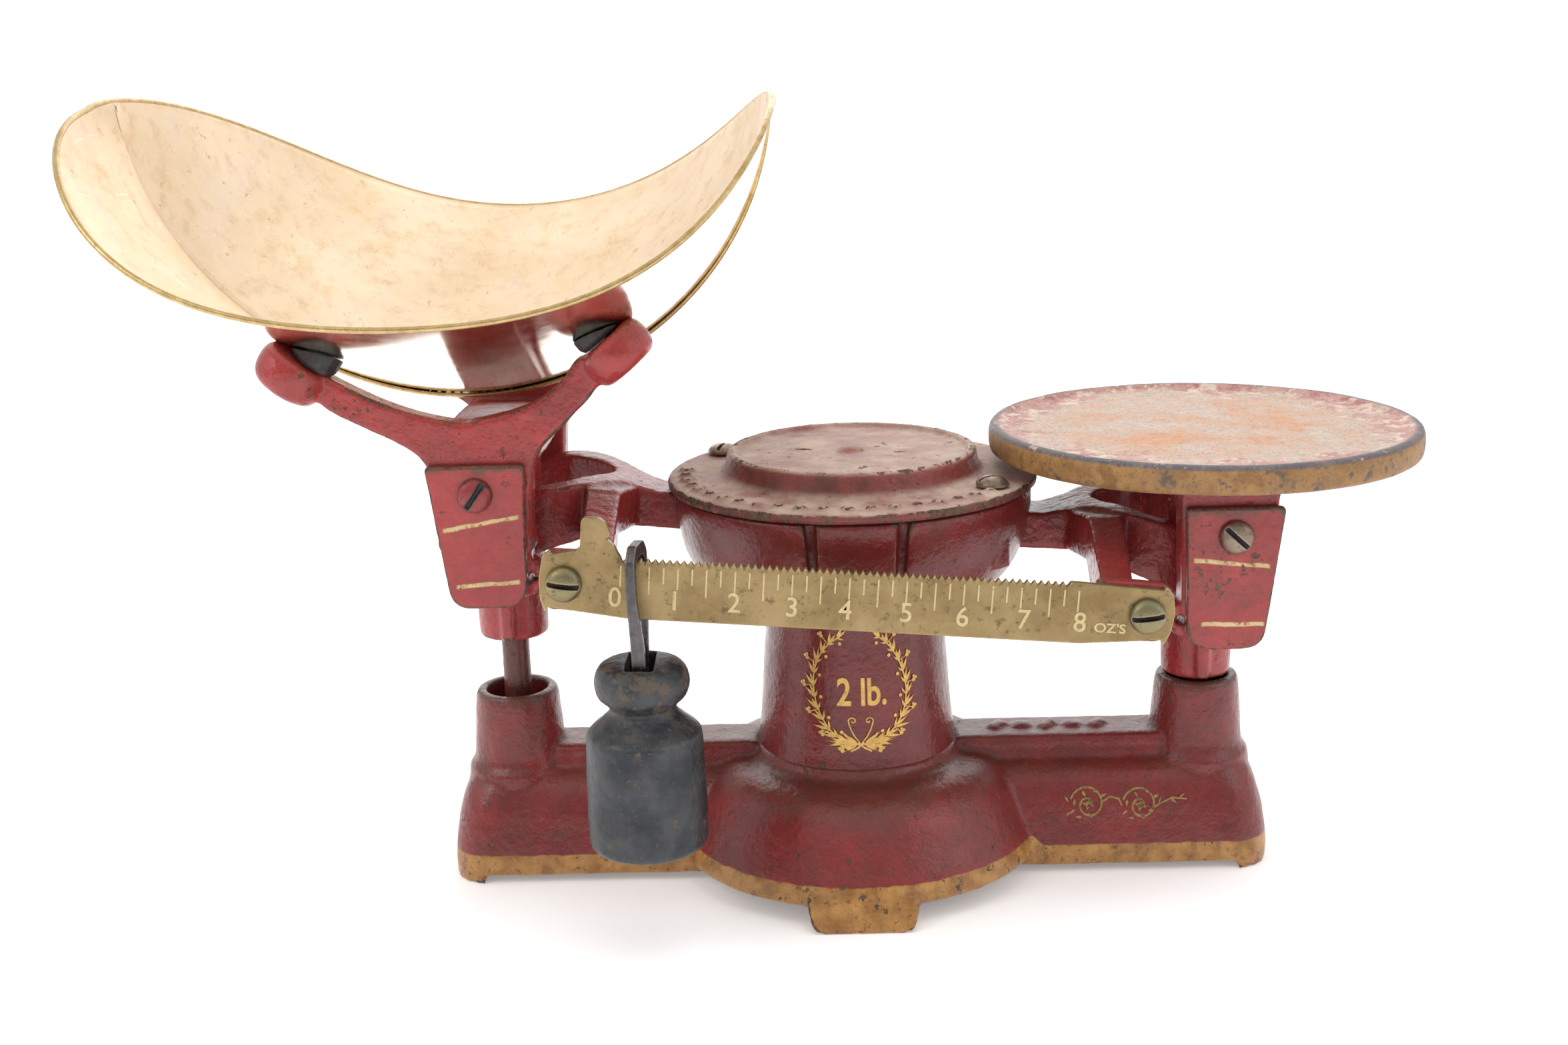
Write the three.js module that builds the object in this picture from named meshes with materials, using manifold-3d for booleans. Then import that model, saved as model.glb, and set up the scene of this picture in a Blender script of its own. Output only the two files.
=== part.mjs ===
// Counter scale with an even-armed beam, a sliding poise and a lift-off brass scoop.
// Millimetres, +Z up. The scale stands on the plane z = 0; the scoop side is -X, the weight plate +X,
// the graduated bar faces -Y. Drawn about the column's axis, then moved so that the origin is the
// bottom centre of the whole object's box.
import * as THREE from "three";
import { mergeVertices } from "three/addons/utils/BufferGeometryUtils.js";
import Module from "manifold-3d";

const wasm = await Module();
wasm.setup();

// ---------------------------------------------------------------- driving dimensions
const ORIGIN_X = -18.7, ORIGIN_Y = 8.12; // column axis to the centre of the box
const ARM = 95.25; // beam arm, knife edge to knife edge (3 3/4 in)
const PIVOT_Z = 103; // height of the main knife edge
const TILT = (4.65 * Math.PI) / 180; // rest attitude: weight side down on its socket
const HEEL = 89; // height from the end knife edge down to the check lever's pins
const STEM_DROP = 43.8; // end knife edge to the foot of the hanger's stem
const STEM_R = 9.6, ROD_R = 3.9, SOCKET_TOP = 51, SOCKET_R = 11.2, SOCKET_BORE = 8.5;
const CHEEK_IN = 30, CHEEK_OUT = 38.4; // hanger cheek plates, distance from the centre plane
const COVER_T = 2.2, GAP = 0.3;
const PAD_Y = 35.5, PADS = [["left", -140.6, 147.2, 0.66, 2.6], ["right", -58.4, 150.6, -0.7, -0.6]]; // spider's pads: name, x, z, lean, rubber's offset
const BASE_HALF_LEN = 113.8, BASE_HALF_WID = 20.5, BULGE_R = 51.5;
const FLANGE_R = 50.1, DRUM_R = 33.6, PLATE_R = 57.5, PLATE_TOP = 122.5;
const BAR_Y = -61, BAR_T = 2, OZ = 13.95, ZERO_X = -57.45; // graduated bar: front face, thickness, mm per ounce
const TEETH_PER_OZ = 8, BAR_MAX = 8, POISE_AT = 0.25; // ounces
const SHEET = 0.7; // scoop metal

// ---------------------------------------------------------------- solids
const V = (x, y) => new THREE.Vector2(x, y);
function solid(geometry, matrix) {
  let g = geometry.clone();
  if (matrix) g.applyMatrix4(matrix);
  g.deleteAttribute("normal");
  g.deleteAttribute("uv");
  g = mergeVertices(g.index ? g.toNonIndexed() : g, 1e-4);
  const at = g.attributes.position.array, from = g.index.array, tri = [];
  for (let i = 0; i < from.length; i += 3) {
    const [a, b, c] = [from[i], from[i + 1], from[i + 2]];
    if (a !== b && b !== c && a !== c) tri.push(a, b, c);
  }
  const make = (t) => new wasm.Manifold(new wasm.Mesh({ numProp: 3, vertProperties: new Float32Array(at), triVerts: new Uint32Array(t) }));
  let m = make(tri);
  if (m.volume() < 0) {
    for (let i = 0; i < tri.length; i += 3) [tri[i + 1], tri[i + 2]] = [tri[i + 2], tri[i + 1]];
    m = make(tri);
  }
  return m;
}
const join = (first, ...rest) => rest.reduce((a, b) => a.add(b), first);
const cut = (first, ...rest) => rest.reduce((a, b) => a.subtract(b), first);
function geometryOf(m) {
  const mesh = m.getMesh();
  const g = new THREE.BufferGeometry();
  g.setAttribute("position", new THREE.BufferAttribute(new Float32Array(mesh.vertProperties), 3));
  g.setIndex(new THREE.BufferAttribute(new Uint32Array(mesh.triVerts), 1));
  g.computeVertexNormals();
  return g;
}
const shift = (x, y, z) => new THREE.Matrix4().makeTranslation(x, y, z);
const X = new THREE.Vector3(1, 0, 0), Y = new THREE.Vector3(0, 1, 0), Z = new THREE.Vector3(0, 0, 1);

// Polygon with its corners rounded by the given radii.
function rounded(points, radii, steps = 4) {
  const out = [], n = points.length;
  for (let i = 0; i < n; i++) {
    const p = V(...points[i]), a = V(...points[(i + n - 1) % n]), b = V(...points[(i + 1) % n]);
    const r = Array.isArray(radii) ? radii[i] : radii;
    const da = a.clone().sub(p), db = b.clone().sub(p);
    const la = da.length(), lb = db.length();
    da.normalize(); db.normalize();
    const half = Math.acos(THREE.MathUtils.clamp(da.dot(db), -1, 1)) / 2;
    if (!r || half > 1.55) { out.push([p.x, p.y]); continue; }
    const t = Math.min(r / Math.tan(half), la * 0.49, lb * 0.49);
    const s = p.clone().addScaledVector(da, t), e = p.clone().addScaledVector(db, t);
    for (let k = 0; k <= steps; k++) {
      const u = k / steps, w = 1 - u;
      out.push([w * w * s.x + 2 * u * w * p.x + u * u * e.x, w * w * s.y + 2 * u * w * p.y + u * u * e.y]);
    }
  }
  return out;
}
function extrude(points, depth) {
  const s = new THREE.Shape(points.map((p) => V(...p)));
  return new THREE.ExtrudeGeometry(s, { depth, bevelEnabled: false, curveSegments: 6 });
}
// Prisms: outline in (x, y), (x, z) or (y, z), from a to b along the remaining axis.
const prismZ = (pts, a, b) => solid(extrude(pts, b - a), shift(0, 0, a));
const prismY = (pts, a, b) => solid(extrude(pts, b - a), shift(0, b, 0).multiply(new THREE.Matrix4().makeRotationX(Math.PI / 2)));
const prismX = (pts, a, b) => solid(extrude(pts, b - a), shift(a, 0, 0).multiply(new THREE.Matrix4().makeBasis(Y, Z, X)));
const box = (x0, x1, y0, y1, z0, z1) => solid(new THREE.BoxGeometry(x1 - x0, y1 - y0, z1 - z0), shift((x0 + x1) / 2, (y0 + y1) / 2, (z0 + z1) / 2));
// Turned solid about a vertical axis through (x, y): profile of [radius, height] from axis to axis, or closed.
const turned = (profile, segments = 32, x = 0, y = 0, z = 0, matrix) => {
  const m = shift(x, y, z);
  if (matrix) m.multiply(matrix);
  m.multiply(new THREE.Matrix4().makeRotationX(Math.PI / 2));
  return solid(new THREE.LatheGeometry(profile.map((p) => V(...p)), segments), m);
};
const cylZ = (r, x, y, a, b, seg = 24, r2 = r) => solid(new THREE.CylinderGeometry(r2, r, b - a, seg), shift(x, y, (a + b) / 2).multiply(new THREE.Matrix4().makeRotationX(Math.PI / 2)));
const cylY = (r, x, z, a, b, seg = 20) => solid(new THREE.CylinderGeometry(r, r, b - a, seg), shift(x, (a + b) / 2, z));
// Skin through rings of equal count, closed by a fan at each end.
function loft(rings) {
  const n = rings[0].length, pos = [], idx = [];
  rings.forEach((r) => r.forEach((p) => pos.push(...p)));
  for (let k = 0; k + 1 < rings.length; k++)
    for (let i = 0; i < n; i++) {
      const a = k * n + i, b = k * n + ((i + 1) % n), c = a + n, d = b + n;
      idx.push(a, b, d, a, d, c);
    }
  const last = (rings.length - 1) * n;
  for (let i = 1; i + 1 < n; i++) { idx.push(0, i + 1, i); idx.push(last, last + i, last + i + 1); }
  const g = new THREE.BufferGeometry();
  g.setAttribute("position", new THREE.Float32BufferAttribute(pos, 3));
  g.setIndex(idx);
  return solid(g);
}
// Rounded rectangle as a ring at height z.
function slab(hx, hy, r, z, steps = 4) {
  const out = [];
  [[1, 1, 0], [-1, 1, 90], [-1, -1, 180], [1, -1, 270]].forEach(([sx, sy, a0]) => {
    for (let k = 0; k <= steps; k++) {
      const a = ((a0 + (90 * k) / steps) * Math.PI) / 180;
      out.push([sx * (hx - r) + r * Math.cos(a), sy * (hy - r) + r * Math.sin(a), z]);
    }
  });
  return out;
}
// Solid with eight corners: four at the near end, four at the far end, in the same order.
const hexa = (near, far) => loft([near, far]);

// ---------------------------------------------------------------- assembly helpers
const root = new THREE.Group();
root.position.set(-ORIGIN_X, -ORIGIN_Y, 0);
const beamGroup = new THREE.Group(); // the beam's own level frame, main knife edge at its origin
beamGroup.position.set(0, 0, PIVOT_Z);
beamGroup.rotation.y = TILT;
root.add(beamGroup);
const colours = {
  red: [0x7d1f28, 0.45, 0.1], bright: [0x9e2430, 0.4, 0.1], pink: [0x8a5a52, 0.6, 0.1], brass: [0xa58a4c, 0.35, 0.9],
  scoop: [0xc9a66b, 0.3, 0.9], steel: [0x6d6a68, 0.35, 0.9], rust: [0x7a5e50, 0.5, 0.7], iron: [0x3f4245, 0.5, 0.6],
  plate: [0x9a7f6c, 0.7, 0.2], rubber: [0x2b2624, 0.8, 0], lead: [0x70757a, 0.6, 0.4],
};
function add(name, m, colour, group = root) {
  const [c, roughness, metalness] = colours[colour];
  const mesh = new THREE.Mesh(geometryOf(m), new THREE.MeshStandardMaterial({ color: c, roughness, metalness }));
  mesh.name = name;
  group.add(mesh);
}
// Slotted screw head facing -Y (dir -1) or +Y (dir 1) with its shank; head seat at y0.
function screwY(x, z, y0, dir, headR, headT, shankR, shankL, angle) {
  const c = Math.cos(angle), s = Math.sin(angle), h = headR * 1.2, w = headR * 0.12;
  const prof = [[0, 0], [headR, 0], [headR, headT * 0.35], [headR * 0.82, headT * 0.75], [headR * 0.45, headT * 0.96], [0, headT]];
  const turn = new THREE.Matrix4().makeRotationX(dir < 0 ? Math.PI / 2 : -Math.PI / 2);
  const head = turned(prof, 18, x, y0, z, turn);
  const y1 = y0 + dir * headT * 0.55, y2 = y0 + dir * headT * 1.4;
  const slot = prismY([[x - h * c + w * s, z - h * s - w * c], [x + h * c + w * s, z + h * s - w * c], [x + h * c - w * s, z + h * s + w * c], [x - h * c - w * s, z - h * s + w * c]], Math.min(y1, y2), Math.max(y1, y2));
  const shank = cylY(shankR, x, z, Math.min(y0 + dir * 0.2, y0 - dir * shankL), Math.max(y0 + dir * 0.2, y0 - dir * shankL), 12);
  return cut(join(head, shank), slot);
}

// ---------------------------------------------------------------- base casting
{
  const outer = [[BASE_HALF_LEN, BASE_HALF_WID, 11, 2], [113.5, 19.8, 11, 9], [112.6, 18.2, 11, 16], [111.4, 16.8, 11, 21.5], [109.6, 14.8, 10.5, 26], [107, 12, 9.5, 28.6], [104, 9, 7.5, 29.6]];
  const inner = [[BASE_HALF_LEN - 3.5, BASE_HALF_WID - 3.5, 8, 1], [109.6, 14.8, 8, 16], [106, 9.6, 6, 26]];
  const arms = loft(outer.map((o) => slab(...o)));
  const armsIn = loft(inner.map((o) => slab(...o)));
  const bulge = turned([[0, 5], [BULGE_R, 5], [51.2, 8], [50, 11.5], [48, 15.5], [45.8, 20.5], [43.6, 24.8], [40.6, 28.6], [37, 30.6], [33, 31.4], [0, 31.4]], 36);
  const bulgeIn = turned([[0, 0], [47.8, 0], [44.4, 15.5], [39.6, 24.6], [36, 27.2], [32, 28], [0, 28]], 24);
  const rib = (sx) => prismZ(rounded([[sx * 28.4, -8.2], [sx * 84, -8.2], [sx * 84, 8.2], [sx * 28.4, 8.2]], 0), 28.5, 35.6);
  const socket = (sx) => turned([[0, 25.6], [14.2, 25.6], [13.6, 30.5], [12.6, 33], [12.1, 42], [11.5, SOCKET_TOP - 1], [SOCKET_R, SOCKET_TOP], [0, SOCKET_TOP]], 24, sx * ARM);
  const bore = (sx) => cylZ(SOCKET_BORE, sx * ARM, 0, 10, SOCKET_TOP + 2, 24);
  const tab = (sy) => prismY(rounded([[-15, 7.2], [-13.2, 0], [13.2, 0], [15, 7.2]], [0, 3.2, 3.2, 0]), sy < 0 ? -55 : 46, sy < 0 ? -46 : 55)
    .intersect(prismX([[sy * 46, -1], [sy * 55, -1], [sy * 54.6, 1.5], [sy * 51.3, 8], [sy * 46, 8]], -20, 20));
  const foot = (sx, sy) => {
    const x = sx * 107, y = sy * 15.6;
    return prismZ(rounded([[x - 5.6, y - 4.2], [x + 5.6, y - 4.2], [x + 5.6, y + 4.2], [x - 5.6, y + 4.2]], [2.4, 2.4, 2.4, 2.4], 3), 0, 5);
  };
  const lug = (sy) => prismY(rounded([[-5, 30], [-4, 14.5], [4, 14.5], [5, 30]], [0, 3, 3, 0]), sy < 0 ? -10.6 : 6.8, sy < 0 ? -6.8 : 10.6);
  let base = join(arms, bulge);
  base = cut(base, armsIn, bulgeIn);
  base = join(base, rib(-1), rib(1), socket(-1), socket(1), tab(-1), tab(1), foot(-1, -1), foot(-1, 1), foot(1, -1), foot(1, 1), lug(-1), lug(1));
  base = cut(base, bore(-1), bore(1), cylY(2.3, 0, PIVOT_Z - HEEL, -12, 12, 14), cylZ(2.4, 0, -16, 20, 33, 14), cylZ(2.4, 0, 16, 20, 33, 14));
  add("base_casting", base, "red");
}

// ---------------------------------------------------------------- column and bowl casting
{
  const outer = [[0, 31.8], [27.9, 31.8], [27.6, 37], [25.4, 61], [24.4, 71], [25.2, 74.6], [28.5, 77], [33, 78.9], [38.4, 81.2], [42.2, 84.4], [44.9, 88.5], [46.9, 93.5], [48.2, 99], [48.9, 107.9], [0, 107.9]];
  const inner = [[0, 37.5], [21, 37.5], [20.6, 72], [22, 79.5], [36, 84.6], [41.4, 90.5], [44.2, 98], [45, 109], [0, 109]];
  let column = cut(turned(outer, 40), turned(inner, 24));
  const window = (sx) => box(Math.min(sx * 30, sx * 60), Math.max(sx * 30, sx * 60), -10.6, 10.6, 88, 110);
  const pillar = (sy) => box(-8.5, 8.5, sy < 0 ? -29 : 20.4, sy < 0 ? -20.4 : 29, 78, PIVOT_Z - 4.6);
  const groove = (sx, sy) => {
    const y0 = sy < 0 ? -52 : 41.5, y1 = sy < 0 ? -41.5 : 52;
    return prismY([[sx * 10.6, 106.5], [sx * 13.4, 106.5], [sx * 11.2, 84], [sx * 9.4, 84]], y0, y1);
  };
  const scallop = (sy) => box(-60, 60, sy < 0 ? -60 : 46.4, sy < 0 ? -46.4 : 60, 83, 107);
  column = join(column, pillar(-1), pillar(1));
  const cuts = [];
  for (const sx of [-1, 1]) for (const sy of [-1, 1]) cuts.push(groove(sx, sy).intersect(scallop(sy)).add(groove(sx, sy).intersect(turned([[43.2, 80], [60, 80], [60, 108], [46.4, 108], [43.2, 80]], 24))));
  column = cut(column, window(-1), window(1), ...cuts, cylZ(8, 0, 0, 30, 40, 20), cylZ(2.4, 0, -16, 30, 40, 14), cylZ(2.4, 0, 16, 30, 40, 14));
  for (const s of [[36, -24], [-36, 24]]) {
    column = column.add(cylZ(4.6, s[0], s[1], 90, 107.9, 14).intersect(turned(outer, 40)));
    column = column.subtract(cylZ(2.2, s[0], s[1], 96, 109, 12));
  }
  add("column_casting", column, "red");
  for (const [n, sy] of [["front", -1], ["back", 1]]) {
    const prof = [[0, 0], [4.2, 0], [4.2, 2.8], [2, 2.8], [2, 15], [0, 15]];
    add("column_screw_" + n, turned(prof, 14, 0, sy * 16, 24.7), "rust");
    const y0 = sy < 0 ? -28.6 : 20.8;
    const block = prismY([[-6.5, -4.3], [6.5, -4.3], [6.5, 3.2], [5.2, 3.2], [0, -0.35], [-5.2, 3.2], [-6.5, 3.2]].map(([x, z]) => [x, z + PIVOT_Z]), y0, y0 + 7.8);
    add("main_bearing_" + n, block, "steel");
  }
}

// ---------------------------------------------------------------- top cover
{
  let cover = turned([[0, 114.8], [30.6, 114.8], [30.6, 108.2], [FLANGE_R, 108.2], [FLANGE_R, 110.4], [49.4, 110.9], [37, 111.1], [34.4, 112.4], [DRUM_R, 116.6], [32.6, 117.4], [30.9, 117], [3.6, 117], [3.2, 117.7], [2, 118.1], [0, 118.1]], 40);
  for (const s of [[36, -24], [-36, 24]]) cover = cover.subtract(cylZ(2.3, s[0], s[1], 107, 112, 12));
  add("top_cover", cover, "pink");
  for (const [n, x, y, a] of [["front", 36, -24, 0.2], ["back", -36, 24, 1.2]]) {
    const head = turned([[0, 97.5], [1.9, 97.5], [1.9, 111.5], [4.4, 111.5], [4.4, 112.1], [3.6, 113.2], [2, 113.9], [0, 114.1]], 16, x, y);
    const slot = prismZ([[-5, -0.5], [5, -0.5], [5, 0.5], [-5, 0.5]].map(([u, v]) => [x + u * Math.cos(a) - v * Math.sin(a), y + u * Math.sin(a) + v * Math.cos(a)]), 113.1, 115);
    add("cover_screw_" + n, head.subtract(slot), "rust");
  }
}

// ---------------------------------------------------------------- beam (level frame, main knife edge at the origin)
const endKnife = (sx) => [[0, 0], [4, -5], [4, -7.5], [-4, -7.5], [-4, -5]].map(([x, z]) => [sx * ARM + x, z]);
const mainKnife = [[0, 0], [4, 5], [4, 8], [-4, 8], [-4, 5]];
{
  const profile = (sx) => [[0, 0.5], [52, 0.5], [58, 2.4], [63, 4.1], [70, 4.8], [77, 4.2], [84, 3], [90, 1], [96, -1.2], [101.5, -4], [102.5, -8], [101, -13], [96, -17.5], [91, -19], [88, -18], [85, -15.4], [79, -12.6], [71, -10.3], [63, -8.2], [57, -9.2], [45, -9.6], [0, -9.6]].map(([x, z]) => [sx * x, z]);
  const plan = (sx) => [[0, -8], [56, -8], [62, -11], [68, -17], [74, -22], [80, -24], [104, -24], [104, -17.5], [84, -17.5], [78, -15.5], [72, -10.5], [67, -5], [65, 0], [67, 5], [72, 10.5], [78, 15.5], [84, 17.5], [104, 17.5], [104, 24], [80, 24], [74, 22], [68, 17], [62, 11], [56, 8], [0, 8]].map(([x, y]) => [sx * x, y]);
  const side = (sx) => prismY(profile(sx), -30, 30).intersect(prismZ(plan(sx), -25, 10));
  const hub = box(-9.5, 9.5, -19, 19, -9.6, 10.4);
  const strut = (sx) => hexa(
    [[61.5, -21.5, -8], [70.5, -21.5, -9.5], [70.5, -21.5, 4.2], [61.5, -21.5, 3.8]].map(([x, y, z]) => [sx * x, y, z]),
    [[60, -57.6, -17.6], [68, -57.6, -17.6], [68, -57.6, -4.2], [60, -57.6, -4.2]].map(([x, y, z]) => [sx * x, y, z]),
  );
  const root1 = (sx) => hexa(
    [[58, -9, -8.6], [72, -16, -9.8], [72, -16, 4.2], [58, -9, 2.4]].map(([x, y, z]) => [sx * x, y, z]),
    [[61.5, -22.5, -8], [70.5, -22.5, -9.5], [70.5, -22.5, 4.2], [61.5, -22.5, 3.8]].map(([x, y, z]) => [sx * x, y, z]),
  );
  const pad = (sx) => prismY(rounded([[sx * 58.6, -2.9], [sx * 76, -2.9], [sx * 77, -10.5], [sx * 76, -18.2], [sx * 58.6, -18.2]], [2, 2, 4, 2, 2], 3), -BAR_T + BAR_Y + BAR_T * 2 + GAP, -55);
  let beam = join(side(-1), side(1), hub, strut(-1), strut(1), root1(-1), root1(1), pad(-1), pad(1));
  const slotMain = [[0, -0.6], [4.4, 4.9], [4.4, 8.4], [-4.4, 8.4], [-4.4, 4.9]];
  const slotEnd = (sx) => [[0, 0.7], [4.4, -4.8], [4.4, -7.9], [-4.4, -7.9], [-4.4, -4.8]].map(([x, z]) => [sx * ARM + x, z]);
  beam = cut(beam, prismY(slotMain, -25, 25));
  for (const sx of [-1, 1]) beam = cut(beam, prismY(slotEnd(sx), -30, -10), prismY(slotEnd(sx), 10, 30), cylY(2.1, sx * 71.2, -10.6, -60, -50, 14));
  add("beam_casting", beam, "red", beamGroup);
  add("main_knife_edge", prismY(mainKnife, -27.5, 27.5), "steel", beamGroup);
  for (const [s, sx] of [["left", -1], ["right", 1]])
    for (const [n, sy] of [["front", -1], ["back", 1]])
      add(s + "_knife_edge_" + n, prismY(endKnife(sx), sy < 0 ? -37.6 : 16.6, sy < 0 ? -16.6 : 37.6), "steel", beamGroup);
  // graduated bar: eight teeth to the ounce, stop finger left of zero
  const top = [];
  const pitch = OZ / TEETH_PER_OZ, first = ZERO_X + 0.4, teeth = BAR_MAX * TEETH_PER_OZ - 2;
  for (let i = 0; i <= teeth; i++) { top.push([first + i * pitch, -4.5]); if (i < teeth) top.push([first + (i + 0.5) * pitch, -3.4]); }
  const bar = [[-75, -19.1], [-77, -14.6], [-77.3, -9.5], [-76.6, -3.6], [-74.8, -2.2], [-67.6, -2.2], [-67.5, 5.4], [-66.8, 6.3], [-63.2, 6.3], [-61, 5], [-59.4, 2.2], [-58.4, -1.6], ...top, [first + teeth * pitch + 1, -3.2], [75.2, -2.4], [77, -5], [78, -9.6], [77.6, -14], [76, -19.2], [55, -18.6], [-55, -18.6]];
  let brass = prismY(bar, BAR_Y, BAR_Y + BAR_T);
  for (const sx of [-1, 1]) brass = brass.subtract(cylY(2.1, sx * 71.2, -10.6, -70, -50, 14));
  add("graduated_bar", brass, "brass", beamGroup);
  add("bar_screw_left", screwY(-71.2, -10.6, BAR_Y - GAP, -1, 4.4, 2.6, 1.75, 7, -0.09), "rust", beamGroup);
  add("bar_screw_right", screwY(71.2, -10.6, BAR_Y - GAP, -1, 4.4, 2.6, 1.75, 7, -0.12), "rust", beamGroup);
}

// ---------------------------------------------------------------- scoop: two sheets that meet at a U-shaped seam
const SCOOP = { n2: 10.781, n3: -21.729, n4: -11.904, an: 0.205, af: 0.504, A: 85.788, p: 0.985, Bf: 122.597, Bn: 60.264, qf: 1.345, qn: 0.697, c1: 21.011, c2: -66.276, c3: -6.498, c4: 14.471, U: 84.124, Ds: 77.92, sp: 1.026, sq: 1.054, vs: 14.032, vk: 0.139, x0: -104.048, y0: -23.742, z0: 211.36, yaw: -0.027, tp: 0.018, tr: -0.012, cup: 0.486 };
function posed(u, v, w) {
  const s = SCOOP, c = Math.cos, n = Math.sin;
  [v, w] = [v * c(s.tp) - w * n(s.tp), v * n(s.tp) + w * c(s.tp)];
  [u, w] = [u * c(s.tr) - w * n(s.tr), u * n(s.tr) + w * c(s.tr)];
  return new THREE.Vector3(u * c(s.yaw) - v * n(s.yaw) + s.x0, u * n(s.yaw) + v * c(s.yaw) + s.y0, w + s.z0);
}
function rimAt(th) {
  const s = SCOOP, si = Math.sin(th), c = Math.cos(th), ac = Math.abs(c);
  const u = s.A * Math.sign(si) * Math.abs(si) ** s.p;
  const v = c > 0 ? s.Bf * ac ** s.qf * (1 + s.af * si * si) : -s.Bn * ac ** s.qn * (1 + s.an * si * si);
  let w = s.c1 * c + s.c2 * c ** 2 + s.c3 * c ** 3 + s.c4 * c ** 4;
  if (c < 0) w += s.n2 * c ** 2 + s.n3 * c ** 3 + s.n4 * c ** 4;
  return posed(u, v, w);
}
function seamAt(ph) {
  const s = SCOOP, c = Math.cos(ph), n = Math.abs(Math.sin(ph));
  const w = -s.Ds * n ** s.sq + s.cup;
  return posed(s.U * Math.sign(c) * Math.abs(c) ** s.sp, s.vs - s.vk * w, w);
}
const TIP = (81.5 * Math.PI) / 180; // where the seam runs out on the rim
// Grid of points between the seam and the rim; side 1 is the trough, side -1 the closed end.
function sheetGrid(side, n = 36, m = 4, lift = 0.35) {
  const rows = [];
  for (let i = 0; i <= n; i++) {
    const t = 0.016 + (0.968 * i) / n, ph = Math.PI * t;
    const th = side > 0 ? TIP * (1 - 2 * t) : TIP + (2 * Math.PI - 2 * TIP) * t;
    const a = seamAt(ph), b = rimAt(th), row = [];
    const len = a.distanceTo(b), start = Math.min(lift / len, 0.3);
    for (let k = 0; k <= m; k++) row.push(a.clone().lerp(b, start + ((1 - start) * k) / m));
    rows.push(row);
  }
  return rows;
}
// Closed skin of a grid pushed out by two offsets along its own normals, or straight up and down.
function sheetSolid(rows, lo, hi, vertical = false) {
  const n = rows.length, m = rows[0].length, pos = [], idx = [];
  const normal = (i, k) => {
    if (vertical) return new THREE.Vector3(0, 0, 1);
    const a = rows[Math.min(i + 1, n - 1)][k].clone().sub(rows[Math.max(i - 1, 0)][k]);
    const b = rows[i][Math.min(k + 1, m - 1)].clone().sub(rows[i][Math.max(k - 1, 0)]);
    const c = a.cross(b).normalize();
    return c;
  };
  const up = normal(n >> 1, m >> 1).z > 0 ? 1 : -1;
  for (const d of [lo, hi]) for (let i = 0; i < n; i++) for (let k = 0; k < m; k++) pos.push(...rows[i][k].clone().addScaledVector(normal(i, k), up * d).toArray());
  const at = (l, i, k) => l * n * m + i * m + k;
  const quad = (a, b, c, d) => idx.push(a, b, c, a, c, d);
  for (let i = 0; i + 1 < n; i++) for (let k = 0; k + 1 < m; k++) {
    quad(at(0, i, k), at(0, i, k + 1), at(0, i + 1, k + 1), at(0, i + 1, k));
    quad(at(1, i, k), at(1, i + 1, k), at(1, i + 1, k + 1), at(1, i, k + 1));
  }
  for (let i = 0; i + 1 < n; i++) {
    quad(at(0, i, 0), at(0, i + 1, 0), at(1, i + 1, 0), at(1, i, 0));
    quad(at(0, i + 1, m - 1), at(0, i, m - 1), at(1, i, m - 1), at(1, i + 1, m - 1));
  }
  for (let k = 0; k + 1 < m; k++) {
    quad(at(0, 0, k + 1), at(0, 0, k), at(1, 0, k), at(1, 0, k + 1));
    quad(at(0, n - 1, k), at(0, n - 1, k + 1), at(1, n - 1, k + 1), at(1, n - 1, k));
  }
  const g = new THREE.BufferGeometry();
  g.setAttribute("position", new THREE.Float32BufferAttribute(pos, 3));
  g.setIndex(idx);
  return solid(g);
}
const trough = sheetSolid(sheetGrid(1), 0, SHEET), closedEnd = sheetSolid(sheetGrid(-1), 0, SHEET);
const scoopClear = [sheetSolid(sheetGrid(1, 24, 3, 0), -GAP - 0.1, 40, true), sheetSolid(sheetGrid(-1, 24, 3, 0), -GAP - 0.1, 40, true)];
add("scoop_body", trough, "scoop");
add("scoop_end", closedEnd, "scoop");

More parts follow.
